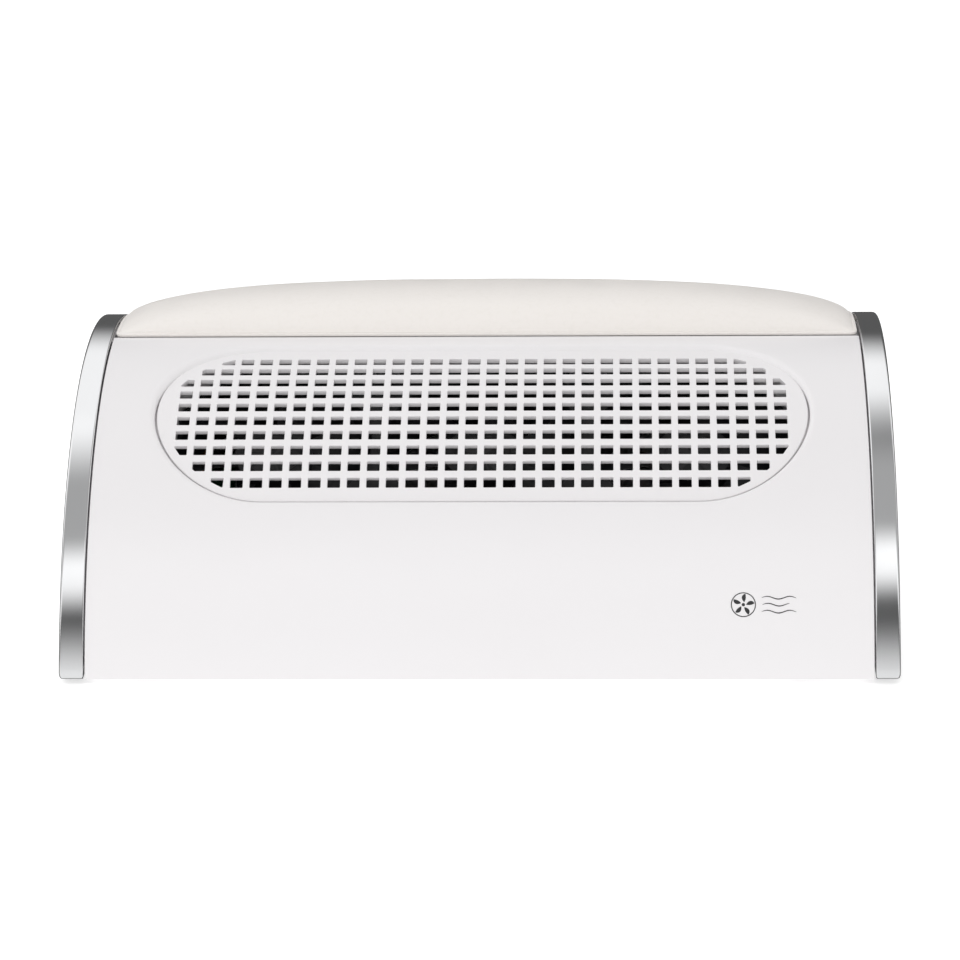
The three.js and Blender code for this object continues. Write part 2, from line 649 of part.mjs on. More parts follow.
add(casing, "upper_shell", upperShell(), "whiteGloss");
add(casing, "base_tray", baseTray(), "whiteGloss");
add(casing, "rear_panel", rearPanel(), "whiteGloss");
for (const [name, side] of [["left", -1], ["right", 1]]) {
  add(casing, `side_panel_${name}`, sidePanel(side), "whiteGloss");
  add(casing, `chrome_trim_${name}`, chromeTrim(side), "chrome");
}

casing.add(tilted);
add(tilted, "grille_insert", grilleInsert(), "whiteGloss");
add(tilted, "fan_deck", fanDeck(), "blackPlastic");
const DECK_TOP = -THROAT.deckDepth;
const FAN_TOP = DECK_TOP - WALL - GAP;
FANS.forEach((name, i) => {
  const fan = new THREE.Group();
  fan.position.set((i - 1) * FAN.pitch, 0, FAN_TOP);
  tilted.add(fan);
  add(fan, `fan_frame_${name}`, fanFrame(), "blackPlastic");
  add(fan, `fan_rotor_${name}`, fanRotor(), "blackPlastic");
  add(fan, `fan_stator_${name}`, fanStator(), "copper");
  fanScrewPlaces().forEach(([x, y], n) =>
    add(fan, `fan_screw_${name}_${n + 1}`, screw(3, 1.8, 1.8, 11), "steel",
      x, y, DECK_TOP + GAP - FAN_TOP));
});
deckScrewPlaces().forEach(([u, v], n) => {
  const deckScrew = screw(2.8, 1.8, 1.3, 7.5);
  deckScrew.rotateX(Math.PI);
  add(tilted, `deck_screw_${n + 1}`, deckScrew, "steel", u, v, DECK_TOP - WALL - GAP);
});

add(casing, "hand_rest_board", handRestBoard(), "greyPlastic");
add(casing, "hand_rest_pad", handRestPad(), "leather");
const seatUnderside = arcPoint(HAND_REST_MIDDLE, SHELL_INSET + SEAT_DEPTH + WALL + GAP);
[-1, 1].forEach((side, n) => {
  const restScrew = screw(3.6, 2, 1.5, 5.2);
  restScrew.rotateX(Math.PI - HAND_REST_MIDDLE);
  add(casing, `hand_rest_screw_${n + 1}`, restScrew, "steel",
    side * HAND_REST_SCREW_X, seatUnderside.x, seatUnderside.y);
});

add(casing, "outlet_collar", outletCollar(), "whiteGloss");
add(casing, "dust_bag", dustBag(), "bagCloth");
add(casing, "dust_bag_elastic", dustBagElastic(), "elastic");

add(casing, "switch_body", switchBody(), "blackPlastic");
add(casing, "switch_rocker", switchRocker(), "blackPlastic", SWITCH.x, SWITCH.pivotY, SWITCH.z);
add(casing, "inlet_body", inletBody(), "blackPlastic");
[-1, 1].forEach((side, n) =>
  add(casing, `inlet_pin_${n + 1}`, inletPin(), "brass",
    INLET.x + (side * INLET.pinSpacing) / 2, BACK_Y - 12, INLET.z));

add(casing, "power_board", powerBoard(), "boardGreen");
add(casing, "transformer", transformer(), "copper", BOARD.x - 3, BOARD.y + 3);
add(casing, "capacitor", capacitor(), "blackPlastic",
  BOARD.x - 3, BOARD.y - 19, BOARD.z + BOARD.thick + GAP);
add(casing, "fan_harness", fanHarness(), "blackPlastic");

footPlaces().forEach(([x, y], n) => add(casing, `foot_${n + 1}`, foot(), "rubber", x, y));
baseScrewPlaces().forEach(([x, y], n) => {
  const baseScrew = screw(3, 1, 1.5, 9.5).rotateX(Math.PI);
  add(casing, `base_screw_${n + 1}`, baseScrew, "steel", x, y, BASE_Z + 0.9);
});
[-1, 1].forEach((side, n) => {
  const rearScrew = screw(3.2, 1.8, 1.5, 12).rotateX(-Math.PI / 2);
  add(casing, `rear_screw_${n + 1}`, rearScrew, "steel",
    side * REAR_SCREW.x, BACK_Y + GAP, REAR_SCREW.z);
});

const collector = new THREE.Group();
const front = Math.min(...sideOutline(0).map((point) => point.x));
casing.position.y = -(front + DEPTH) / 2;
collector.add(casing);

export default collector;
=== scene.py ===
# The looks of the nail dust collector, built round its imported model. Pieces are drawn in
# millimetres with y = 0 at the casing's front bottom edge, and TO_FRAME takes them to the
# model's own frame in metres. Side views are drawn in (y, z).
import json
from bisect import bisect_right
from math import acos, asin, atan2, cos, pi, radians, sin, sqrt

import bmesh
import bpy
from mathutils import Matrix, Vector, noise
from mathutils.geometry import delaunay_2d_cdt


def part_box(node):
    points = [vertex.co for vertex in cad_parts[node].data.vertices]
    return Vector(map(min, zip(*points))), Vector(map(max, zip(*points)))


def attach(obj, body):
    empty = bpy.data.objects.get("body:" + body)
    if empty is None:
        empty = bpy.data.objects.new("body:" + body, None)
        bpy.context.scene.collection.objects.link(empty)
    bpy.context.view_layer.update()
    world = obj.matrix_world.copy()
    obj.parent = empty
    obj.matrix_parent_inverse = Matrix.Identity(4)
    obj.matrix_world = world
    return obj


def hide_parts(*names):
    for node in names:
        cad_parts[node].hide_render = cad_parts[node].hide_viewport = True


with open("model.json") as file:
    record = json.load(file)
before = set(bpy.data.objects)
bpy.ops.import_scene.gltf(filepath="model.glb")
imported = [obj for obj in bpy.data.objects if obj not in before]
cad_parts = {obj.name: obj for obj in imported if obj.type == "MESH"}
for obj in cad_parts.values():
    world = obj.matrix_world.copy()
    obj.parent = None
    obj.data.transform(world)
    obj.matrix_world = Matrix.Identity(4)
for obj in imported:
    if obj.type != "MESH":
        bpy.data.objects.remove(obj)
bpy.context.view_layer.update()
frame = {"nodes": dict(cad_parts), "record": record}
record = frame["record"]

# ---------------------------------------------------------------- sizes, millimetres
MM = 0.001
GAP = 0.3
WALL = 2.5
HALF_WIDTH = 155
TRIM_WIDTH = 9
TRIM_DEPTH = 5
BASE_Z = 2.5
BACK_Y = 222
ARC_R = 141.5
ARC_LEAN = radians(24)
ARC_Y = ARC_R * cos(ARC_LEAN)
ARC_Z = BASE_Z - ARC_R * sin(ARC_LEAN)
SHELL_INSET = 0.8
SHELL_R = ARC_R - SHELL_INSET
SHELL_HALF = HALF_WIDTH - TRIM_WIDTH - 0.8
SEAT_FROM = radians(2)
SEAT_TO = radians(33)
SEAT_DEPTH = 3
GRILLE_TILT = radians(20.5)
GRILLE_SIZE = (247, 84)
GRILLE_SHIFT = 0.9
GRILLE_THICK = 2
GRILLE_R = SHELL_R - 1.4
HOLE_PITCH = (7.3, 7.45)
HOLE_SIZE = (4.8, 4.4)
HOLE_ROWS = 10
HOLE_COLUMNS = 32
FIELD_RADIUS = 38.9
FIELD_CENTRE = 80.5
THROAT_SIZE = (238, 80.4)
THROAT_WALL = 6.5
DECK_TOP = -17.5
FAN_SIZE = 80
FAN_DEPTH = 25
FAN_PITCH = 80.5
FAN_TOP = DECK_TOP - WALL - GAP
FAN_SCREW = 35.75
FANS = ["left", "middle", "right"]

TO_FRAME = (Matrix.Translation((0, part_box("rear_panel")[1].y - BACK_Y * MM, 0))
            @ Matrix.Scale(MM, 4))


def arch(angle, inset=0.0):
    """A side-view point of the arched top, at an angle from its crest, inset below the trims."""
    return Vector((ARC_Y + (ARC_R - inset) * sin(angle), ARC_Z + (ARC_R - inset) * cos(angle)))


# The frame of grille and fans: its origin on the arch at the grille's middle, +Z out of it.
TILTED = Matrix.Translation((0, *arch(-GRILLE_TILT))) @ Matrix.Rotation(GRILLE_TILT, 4, "X")


# ---------------------------------------------------------------- outlines
def spread(start, end, steps):
    return [start + (end - start) * i / steps for i in range(steps + 1)]


def outline(corners, radii=0.3, steps=4):
    """A counterclockwise outline with rounded corners, as a function of an inset."""
    corners = [Vector(corner) for corner in corners]
    if not isinstance(radii, (list, tuple)):
        radii = [radii] * len(corners)

    def at(inset=0.0):
        points = []
        for i, here in enumerate(corners):
            into = (here - corners[i - 1]).normalized()
            out = (corners[(i + 1) % len(corners)] - here).normalized()
            n0, n1 = Vector((into.y, -into.x)), Vector((out.y, -out.x))
            turn = 1 if n0.cross(n1) >= 0 else -1
            radius = max(radii[i] - turn * inset, 0.02)
            centre = here - (n0 + n1) * (inset + turn * radius) / (1 + n0.dot(n1))
            first = atan2(n0.y, n0.x)
            last = first + atan2(n0.cross(n1), n0.dot(n1))
            points += [centre + Vector((cos(a), sin(a))) * turn * radius
                       for a in spread(first, last, steps)]
        return points
    return at


def rectangle(width, height, corner=0.3, a=0.0, b=0.0, steps=4):
    u, v = width / 2, height / 2
    return outline([(a - u, b - v), (a + u, b - v), (a + u, b + v), (a - u, b + v)], corner, steps)


def stadium(width, height, b=0.0):
    return rectangle(width, height, height / 2 - 0.01, 0, b, steps=24)


def circle(radius, a=0.0, b=0.0, sides=48):
    turns = [2 * pi * i / sides for i in range(sides)]
    return lambda inset=0.0: [Vector((a + (radius - inset) * cos(t), b + (radius - inset) * sin(t)))
                              for t in turns]


def evenly(loop, count):
    """An outline's points spread evenly along it."""
    def at(inset=0.0):
        points = loop(inset)
        ends = points[1:] + points[:1]
        lengths = [0.0]
        for p, q in zip(points, ends):
            lengths.append(lengths[-1] + (q - p).length)
        spots = []
        for i in range(count):
            target = lengths[-1] * i / count
            k = min(bisect_right(lengths, target) - 1, len(points) - 1)
            part = (target - lengths[k]) / max(lengths[k + 1] - lengths[k], 1e-9)
            spots.append(points[k].lerp(ends[k], part))
        return spots
    return at


def side_outline(inset=0.0):
    """The casing's side view shrunk by an inset: base, heel, arch and toe."""
    radius = ARC_R - inset
    base, back = BASE_Z + inset, BACK_Y - inset
    corner = max(1.6 - inset / 4, 0.5)
    toe = -acos((base + corner - ARC_Z) / (radius - corner))
    heel = asin((back - corner - ARC_Y) / (radius - corner))

    def rounded(centre, first, last):
        return [centre + Vector((sin(a), cos(a))) * corner for a in spread(first, last, 6)]
    return [
        *rounded(arch(toe, inset + corner), -pi, toe)[:-1],
        *[arch(a, inset) for a in spread(toe, heel, 120)],
        *rounded(arch(heel, inset + corner), heel, pi / 2)[1:],
        *rounded(Vector((back - corner, base + corner)), pi / 2, pi),
    ][::-1]


# ---------------------------------------------------------------- solids
def bridge(bm, rings, around=False):
    """Quads between rings of points, each ring closed; around joins the last to the first."""
    pairs = zip(rings, rings[1:] + rings[:1]) if around else zip(rings, rings[1:])
    for low, high in pairs:
        for i in range(len(low)):
            bm.faces.new((low[i - 1], low[i], high[i], high[i - 1]))


def lofted(rings, around=False, caps=True):
    bm = bmesh.new()
    made = [[bm.verts.new(point) for point in ring] for ring in rings]
    bridge(bm, made, around)
    if caps and not around:
        bm.faces.new(made[0])
        bm.faces.new(made[-1][::-1])
    return bm


def fill(bm, loops):
    """Triangles between an outer loop and the holes in it."""
    verts = [v for loop in loops for v in loop]
    owner = [n for n, loop in enumerate(loops) for _ in loop]
    edges = []
    for loop in loops:
        start = len(edges)
        edges += [(start + i, start + (i + 1) % len(loop)) for i in range(len(loop))]
    _, _, faces, came_from, _, _ = delaunay_2d_cdt([v.co.xy for v in verts], edges, [], 1, 1e-6)
    for face in faces:
        corners = [came_from[i][0] for i in face]
        hole = owner[corners[0]]
        if hole and all(owner[i] == hole for i in corners):
            continue
        bm.faces.new([verts[i] for i in corners])


def rolled(top, bottom, thickness, steps):
    """A rolled edge as (inset, depth) from the top face down to the bottom face; top is a
    radius, or the roll's width and depth."""
    quarter = spread(0, pi / 2, steps)
    wide, deep = top if isinstance(top, tuple) else (top, top)
    return [*[(wide * (1 - sin(a)), deep * (1 - cos(a))) for a in quarter],
            *[(bottom * (1 - cos(a)), thickness - bottom * (1 - sin(a))) for a in quarter]]


def plate(outer, holes=(), thickness=1.0, top=0.3, bottom=0.2, at_holes=(0.3, 0.2), steps=3):
    """A plate with rolled edges under z = 0; outer and holes are outlines."""
    bm = bmesh.new()
    upper, lower = [], []
    edges = [(outer, 1, top, bottom), *[(hole, -1, *at_holes) for hole in holes]]
    for loop, sign, above, below in edges:
        rings = [[bm.verts.new((*point, -depth)) for point in loop(sign * inset)]
                 for inset, depth in rolled(above, below, thickness, steps)]
        bridge(bm, rings)
        upper.append(rings[0])
        lower.append(rings[-1])
    fill(bm, upper)
    fill(bm, lower)
    return bm


def band(loop, section):
    """A closed band: loop is an outline, section a list of (inset, height) round the band."""
    return lofted([[(*point, height) for point in loop(inset)] for inset, height in section],
                  around=True)


def turned(profile, sides=48):
    """A solid turned round the Z axis from a profile of (radius, z) that starts and ends on it."""
    rings = [[(r * cos(2 * pi * i / sides), r * sin(2 * pi * i / sides), z) for i in range(sides)]
             for r, z in profile]
    return lofted(rings, caps=False)


def rounded_profile(points, radius=0.4):
    """A turning profile from the axis outwards and back, with its corners rounded."""
    closed = outline(points, [0.02 if r == 0 else radius for r, _ in points])
    return [(max(p.x, 0), p.y) for p in closed()]


def block(x0, x1, y0, y1, z0, z1, edge=0.4):
    bm = plate(rectangle(x1 - x0, y1 - y0, edge * 1.5), (), z1 - z0, edge, edge)
    return placed(bm, Matrix.Translation(((x0 + x1) / 2, (y0 + y1) / 2, z1)))


def at(x, y, z):
    return Matrix.Translation((x, y, z))


def turned_about(axis, angle):
    return Matrix.Rotation(angle, 4, axis)


def placed(bm, matrix):
    bmesh.ops.transform(bm, matrix=matrix, verts=bm.verts)
    return bm


def joined(*solids):
    whole = bmesh.new()
    whole.verts.layers.float_vector.new("facing")
    for solid in solids:
        part = bpy.data.meshes.new("part")
        solid.to_mesh(part)
        whole.from_mesh(part)
        bpy.data.meshes.remove(part)
        solid.free()
    return whole


def bent(bm, upper, lower):
    """Wraps a plate drawn in (x, distance) between two matching side-view curves, and keeps
    the direction its top faces, so that the flat strips between holes shade evenly."""
    lengths = [0.0]
    for p, q in zip(upper, upper[1:]):
        lengths.append(lengths[-1] + (q - p).length)
    thickness = (upper[0] - lower[0]).length
    normals = []
    for i, here in enumerate(upper):
        along = upper[min(i + 1, len(upper) - 1)] - upper[max(i - 1, 0)]
        normals.append(Vector((-along.y, along.x)).normalized())
    for length in lengths[1:-1]:
        bmesh.ops.bisect_plane(bm, geom=bm.verts[:] + bm.edges[:] + bm.faces[:], dist=1e-3,
                               plane_co=(0, length, 0), plane_no=(0, 1, 0))
    facing = bm.verts.layers.float_vector.new("facing")
    for v in bm.verts:
        x, along, height = v.co
        i = min(max(bisect_right(lengths, along) - 1, 0), len(lengths) - 2)
        part = (along - lengths[i]) / (lengths[i + 1] - lengths[i])
        outer = upper[i].lerp(upper[i + 1], part)
        inner = lower[i].lerp(lower[i + 1], part)
        normal = normals[i].lerp(normals[i + 1], part)
        if height > -1e-4:
            v[facing] = (0, *normal.normalized())
        v.co = (x, *outer.lerp(inner, -height / thickness))
    return bm


# ---------------------------------------------------------------- pieces
SHARP = radians(42)
SLOTS = {row["node"]: row["material_slot"] for row in record["subparts"]}
BODIES = {node: body for body, nodes in record["behaviour"]["bodies"].items() for node in nodes}
finishes = {}
replaced = set()


def shown(name, mesh, finish, body):
    mesh.materials.append(finish)
    piece = bpy.data.objects.new(name, mesh)
    bpy.context.scene.collection.objects.link(piece)
    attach(piece, body)
    return piece


def welded(solid):
    """Merges the points that meet and turns every face outward."""
    bmesh.ops.remove_doubles(solid, verts=solid.verts, dist=2e-4)
    bmesh.ops.dissolve_degenerate(solid, edges=solid.edges, dist=1e-5)
    bmesh.ops.recalc_face_normals(solid, faces=solid.faces)
    if solid.calc_volume(signed=True) < 0:
        bmesh.ops.reverse_faces(solid, faces=solid.faces)
    return solid


def mesh_of(name, solid, matrix=Matrix.Identity(4), sharp=SHARP):
    welded(solid)
    for face in solid.faces:
        face.smooth = True
    for edge in solid.edges:
        edge.smooth = edge.is_manifold and edge.calc_face_angle(0) < sharp
    mesh = bpy.data.meshes.new(name)
    solid.to_mesh(mesh)
    solid.free()
    facing = mesh.attributes.get("facing")
    if facing:
        kept = [Vector(item.vector) for item in facing.data]
        if any(v.length > 0.5 for v in kept):
            own = [v.normal.copy() for v in mesh.vertices]
            mesh.normals_split_custom_set_from_vertices(
                [k if k.length > 0.5 else n for k, n in zip(kept, own)])
        mesh.attributes.remove(mesh.attributes["facing"])
    mesh.transform(TO_FRAME @ matrix)
    return mesh


def stands_for(node, solid, matrix=Matrix.Identity(4), sharp=SHARP):
    """Shows a solid, drawn in millimetres, in place of a CAD node."""
    piece = shown(f"{node}_fine", mesh_of(node, solid, matrix, sharp), finishes[SLOTS[node]],
                  BODIES[node])
    if not piece.data.has_custom_normals:
        piece.modifiers.new("even_faces", "WEIGHTED_NORMAL").keep_sharp = True
    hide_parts(node)
    replaced.add(node)
    return piece


# ---------------------------------------------------------------- finishes
def add_node(tree, kind, inputs=(), **settings):
    """Adds a node to a tree; its inputs are values, or sockets that are linked to it."""
    node = tree.nodes.new(kind)
    for name, value in settings.items():
        setattr(node, name, value)
    for name, value in dict(inputs).items():
        if isinstance(value, bpy.types.NodeSocket):
            tree.links.new(value, node.inputs[name])
        else:
            node.inputs[name].default_value = value
    return node


class Finish:
    """A Principled material whose colour, roughness and relief are built up in layers."""

    def __init__(self, slot, colour, roughness, **sockets):
        self.material = bpy.data.materials.new(slot)
        self.material.use_nodes = True
        self.tree = self.material.node_tree
        self.shader = self.tree.nodes["Principled BSDF"]
        self.shader.inputs["Roughness"].default_value = roughness
        for name, value in sockets.items():
            self.shader.inputs[name.replace("_", " ")].default_value = value
        self.colour = (*colour, 1)
        self.shader.inputs["Base Color"].default_value = self.colour
        self.place = self.add("ShaderNodeTexCoord").outputs["Object"]
        self.bump = None
        self.material.diffuse_color = self.colour
        finishes[slot] = self.material

    def add(self, kind, inputs=(), **settings):
        return add_node(self.tree, kind, inputs, **settings)

    def stretched(self, *scale):
        return self.add("ShaderNodeMapping", {"Vector": self.place, "Scale": scale}).outputs[0]

    def noise(self, scale, detail=3.0, place=None, distortion=0.0):
        return self.add("ShaderNodeTexNoise", {
            "Vector": place or self.place, "Scale": scale, "Detail": detail,
            "Distortion": distortion}).outputs["Fac"]

    def cells(self, scale, feature="F1", smooth=1.0):
        node = self.add("ShaderNodeTexVoronoi", {"Vector": self.place, "Scale": scale},
                        feature=feature)
        if feature == "SMOOTH_F1":
            node.inputs["Smoothness"].default_value = smooth
        return node.outputs["Distance"]

    def waves(self, scale, direction="X", distortion=0.0):
        return self.add("ShaderNodeTexWave", {
            "Vector": self.place, "Scale": scale, "Distortion": distortion},
            bands_direction=direction).outputs["Fac"]

    def math(self, kind, a, b=0.5):
        return self.add("ShaderNodeMath", {0: a, 1: b}, operation=kind).outputs[0]

    def between(self, source, low, high, to_low=0.0, to_high=1.0):
        return self.add("ShaderNodeMapRange", {
            "Value": source, "From Min": low, "From Max": high,
            "To Min": to_low, "To Max": to_high}).outputs["Result"]

    def edges(self, low=0.52, high=0.6):
        """1 along convex edges, where handling wears the surface."""
        worn = self.add("ShaderNodeNewGeometry").outputs["Pointiness"]
        return self.between(worn, low, high)

    def tint(self, mask, colour, amount=1.0):
        """Mixes another colour in where the mask is high."""
        socket = self.shader.inputs["Base Color"]
        under = socket.links[0].from_socket if socket.is_linked else self.colour
        factor = self.math("MULTIPLY", mask, amount)
        mixed = self.add("ShaderNodeMix", data_type="RGBA")
        self.tree.links.new(factor, mixed.inputs[0])
        if isinstance(under, bpy.types.NodeSocket):
            self.tree.links.new(under, mixed.inputs[6])
        else:
            mixed.inputs[6].default_value = under
        mixed.inputs[7].default_value = (*colour, 1)
        self.tree.links.new(mixed.outputs[2], socket)
        return self

    def rough(self, mask, low, high):
        self.tree.links.new(self.between(mask, 0.3, 0.7, low, high), self.shader.inputs["Roughness"])
        return self

    def relief(self, height, depth):
        """Adds bumps of a depth in millimetres."""
        node = self.add("ShaderNodeBump", {"Height": height, "Distance": depth * MM,
                                           "Strength": 1.0})
        if self.bump:
            self.tree.links.new(self.bump, node.inputs["Normal"])
        self.bump = node.outputs["Normal"]
        self.tree.links.new(self.bump, self.shader.inputs["Normal"])
        return self


def moulded_white(slot, roughness, grain):
    made = Finish(slot, (0.855, 0.838, 0.847), roughness, IOR=1.5)
    made.tint(made.between(made.noise(14, 4), 0.3, 0.7), (0.845, 0.826, 0.834), 0.5)
    made.rough(made.noise(34, 2), roughness - 0.03, roughness + 0.04)
    made.relief(made.noise(120, 1), grain)
    made.relief(made.noise(26, 1), 0.015)


def chrome():
    made = Finish("chrome_trim", (0.9, 0.905, 0.915), 0.08, Metallic=1.0)
    smears = made.noise(18, 6, made.stretched(1, 0.35, 0.35), 0.6)
    made.tint(made.between(smears, 0.45, 0.8), (0.82, 0.825, 0.835), 0.6)
    made.rough(smears, 0.06, 0.13)
    made.relief(made.noise(30, 2), 0.006)


def leather():
    made = Finish("cushion_leather", (0.905, 0.867, 0.832), 0.46, IOR=1.45, Sheen_Weight=0.15,
                  Sheen_Roughness=0.45)
    grain = made.cells(620, "SMOOTH_F1", smooth=0.35)
    pores = made.cells(1300, "F1")
    made.tint(made.between(made.noise(9, 4), 0.35, 0.7), (0.885, 0.845, 0.807), 0.6)
    made.tint(made.between(grain, 0.5, 0.9), (0.84, 0.8, 0.755), 0.25)
    made.rough(made.noise(90, 4), 0.4, 0.54)
    made.relief(grain, -0.05)
    made.relief(pores, 0.012)
    made.relief(made.noise(70, 4), 0.05)


def grey_board():
    made = Finish("grey_board", (0.42, 0.42, 0.43), 0.6)
    made.tint(made.noise(30, 5), (0.36, 0.36, 0.37), 0.5)
    made.rough(made.noise(200), 0.52, 0.68)
    made.relief(made.noise(900, 2), 0.02)


def black_plastic():
    made = Finish("black_plastic", (0.017, 0.017, 0.019), 0.36, IOR=1.5)
    dust = made.between(made.noise(240, 8), 0.52, 0.74)
    made.tint(dust, (0.11, 0.105, 0.1), 0.22)
    made.tint(made.edges(0.53, 0.62), (0.07, 0.07, 0.072), 0.5)
    made.rough(made.noise(110, 5), 0.3, 0.48)
    made.relief(made.noise(1100, 2), 0.015)


def copper():
    made = Finish("copper_winding", (0.5, 0.2, 0.085), 0.32, Metallic=0.9)
    turns = made.waves(380, "Z", distortion=0.4)
    made.tint(turns, (0.2, 0.07, 0.03), 0.6)
    made.rough(made.noise(100), 0.25, 0.42)
    made.relief(turns, 0.08)


def sleeve():
    made = Finish("wire_sleeve", (0.03, 0.03, 0.032), 0.6)
    weave = made.math("MULTIPLY", made.waves(500, "X"), made.waves(500, "DIAGONAL"))
    made.tint(weave, (0.12, 0.12, 0.125), 0.7)
    made.rough(made.noise(150), 0.5, 0.7)
    made.relief(weave, 0.1)


def metal(slot, colour, low, high):
    made = Finish(slot, colour, low, Metallic=1.0)
    lines = made.noise(40, 6, made.stretched(3, 60, 3))
    made.tint(lines, tuple(0.75 * c for c in colour), 0.5)
    made.rough(lines, low, high)
    made.relief(lines, 0.01)


def circuit_board():
    made = Finish("circuit_board", (0.02, 0.16, 0.06), 0.32)
    tracks = made.add("ShaderNodeTexBrick", {
        "Vector": made.stretched(1, 1, 0), "Scale": 160.0, "Mortar Size": 0.05}).outputs["Fac"]
    made.tint(tracks, (0.05, 0.3, 0.12), 0.7)
    made.tint(made.between(made.cells(170), 0.0, 0.22, 1, 0), (0.62, 0.63, 0.62), 0.8)
    made.rough(made.noise(80), 0.25, 0.4)
    made.relief(tracks, 0.03)


def capacitor_sleeve():
    made = Finish("capacitor_sleeve", (0.02, 0.022, 0.05), 0.3)
    made.tint(made.between(made.waves(26, "X"), 0.82, 0.9), (0.5, 0.52, 0.56), 0.8)
    made.rough(made.noise(120), 0.22, 0.4)
    made.relief(made.noise(500), 0.02)


def rubber():
    made = Finish("foot_rubber", (0.025, 0.025, 0.026), 0.75)
    made.tint(made.noise(120, 6), (0.06, 0.058, 0.055), 0.5)
    made.rough(made.noise(200), 0.65, 0.85)
    made.relief(made.noise(700, 3), 0.05)


def filter_cloth():
    """Non-woven cloth: laid fibres, and the rows of pressed dots that bond them."""
    made = Finish("bag_fabric", (0.82, 0.81, 0.785), 0.9, Sheen_Weight=0.3, Sheen_Roughness=0.6)
    fibres = made.noise(260, 8, made.stretched(1, 5, 5), 1.2)
    across = made.noise(260, 8, made.stretched(5, 1, 1), 1.2)
    dots = made.between(made.cells(520, "F1"), 0.15, 0.32)
    made.tint(made.between(fibres, 0.4, 0.7), (0.72, 0.705, 0.68), 0.5)
    made.tint(made.between(dots, 0, 1, 1, 0), (0.66, 0.65, 0.62), 0.4)
    made.rough(across, 0.82, 0.96)
    made.relief(fibres, 0.1)
    made.relief(across, 0.08)
    made.relief(dots, 0.12)


def elastic():
    made = Finish("elastic_band", (0.8, 0.79, 0.77), 0.85, Sheen_Weight=0.4, Sheen_Roughness=0.5)
    rib = made.waves(260, "Y")
    cross = made.waves(420, "X")
    made.tint(rib, (0.62, 0.61, 0.59), 0.5)
    made.rough(made.noise(300), 0.75, 0.95)
    made.relief(rib, 0.2)
    made.relief(cross, 0.1)


def print_ink():
    made = Finish("print_ink", (0.02, 0.02, 0.022), 0.4)
    made.tint(made.noise(500, 4), (0.06, 0.06, 0.06), 0.5)
    made.rough(made.noise(300), 0.32, 0.5)
    made.relief(made.noise(900), 0.01)


moulded_white("white_casing", 0.32, 0.006)
moulded_white("white_grille", 0.34, 0.012)
chrome()
leather()
grey_board()
black_plastic()
copper()
sleeve()
metal("brass_pin", (0.78, 0.56, 0.24), 0.2, 0.34)
metal("zinc_steel", (0.6, 0.61, 0.63), 0.24, 0.42)
circuit_board()
capacitor_sleeve()
rubber()
filter_cloth()
elastic()
print_ink()


# ---------------------------------------------------------------- casing
def seated_arch(inset):
    """The shell's side view at an inset: up the front, down into the seat, out and to the back."""
    toe = -acos((BASE_Z + GAP - ARC_Z) / (ARC_R - inset))
    heel = asin((BACK_Y - WALL - GAP - ARC_Y) / (ARC_R - inset))
    edge = (inset - SHELL_INSET) / ARC_R
    low = inset + SEAT_DEPTH
    reach = 0.8 / ARC_R
    first = [arch(a, inset) for a in spread(toe, SEAT_FROM - edge - reach, 112)]
    seat = [arch(a, low) for a in spread(SEAT_FROM - edge + reach, SEAT_TO + edge - reach, 40)]
    last = [arch(a, inset) for a in spread(SEAT_TO + edge + reach, heel, 8)]

    def step(before, angle, upper, lower, after):
        """A step down or up, its two corners rounded."""
        points = [before, arch(angle, upper), arch(angle, lower), after]
        made = []
        for p, q, r in zip(points, points[1:], points[2:]):
            start, end = q + (p - q).normalized() * 1.1, q + (r - q).normalized() * 1.1
            made += [start.lerp(q, t).lerp(q.lerp(end, t), t) for t in spread(0, 1, 6)]
        return made
    return [*first, *step(first[-1], SEAT_FROM - edge, inset, low, seat[0]), *seat,
            *step(seat[-1], SEAT_TO + edge, low, inset, last[0]), *last]


def along_arch(v, radius):
    """Distance along the arch for a distance v measured in the tilted frame."""
    return radius * asin(v / radius)


def wrapped(flat, radius, shift=0.0):
    """An outline drawn in the tilted frame, as distances along the arch."""
    return lambda inset=0.0: [Vector((p.x, shift + along_arch(p.y, radius))) for p in flat(inset)]


def arch_height(v, inset):
    """Height of the arch in the tilted frame."""
    return sqrt((ARC_R - inset) ** 2 - v * v) - ARC_R


def upper_shell():
    upper, lower = seated_arch(SHELL_INSET), seated_arch(SHELL_INSET + WALL)
    length = sum((q - p).length for p, q in zip(upper, upper[1:]))
    toe = -acos((BASE_Z + GAP - ARC_Z) / SHELL_R)
    middle = SHELL_R * (-GRILLE_TILT - toe)
    width, height = GRILLE_SIZE
    pocket = stadium(width + 1.3, height + 1.3, GRILLE_SHIFT)
    sheet = plate(rectangle(2 * SHELL_HALF + 0.5, length, 0.6, 0, length / 2, steps=3),
                  [wrapped(pocket, SHELL_R, middle)], WALL, 0.25, 0.3,
                  at_holes=((2.3, 1.5), 0.05), steps=6)
    skin = bent(sheet, upper, lower)

    bottom = GAP + DECK_TOP
    ledge = ARC_R - GRILLE_R + GRILLE_THICK + GAP
    throat = sleeve_wall(stadium(*THROAT_SIZE, GRILLE_SHIFT), THROAT_WALL, lambda v: bottom,
                         lambda v: arch_height(v, ledge))
    rim = sleeve_wall(pocket, 1.2, lambda v: arch_height(v, ledge + 0.4),
                      lambda v: arch_height(v, SHELL_INSET + WALL - 0.3))
    bosses = []
    for u, v in deck_screw_places():
        top = arch_height(v, SHELL_INSET + WALL) + 0.4
        section = outline([(0, bottom), (2.4, bottom), (2.4, top), (0, top)], 0.2, 2)()
        bosses.append(placed(band(circle(4, u, v, 24), section), TILTED))
    return joined(skin, throat, rim, *bosses)


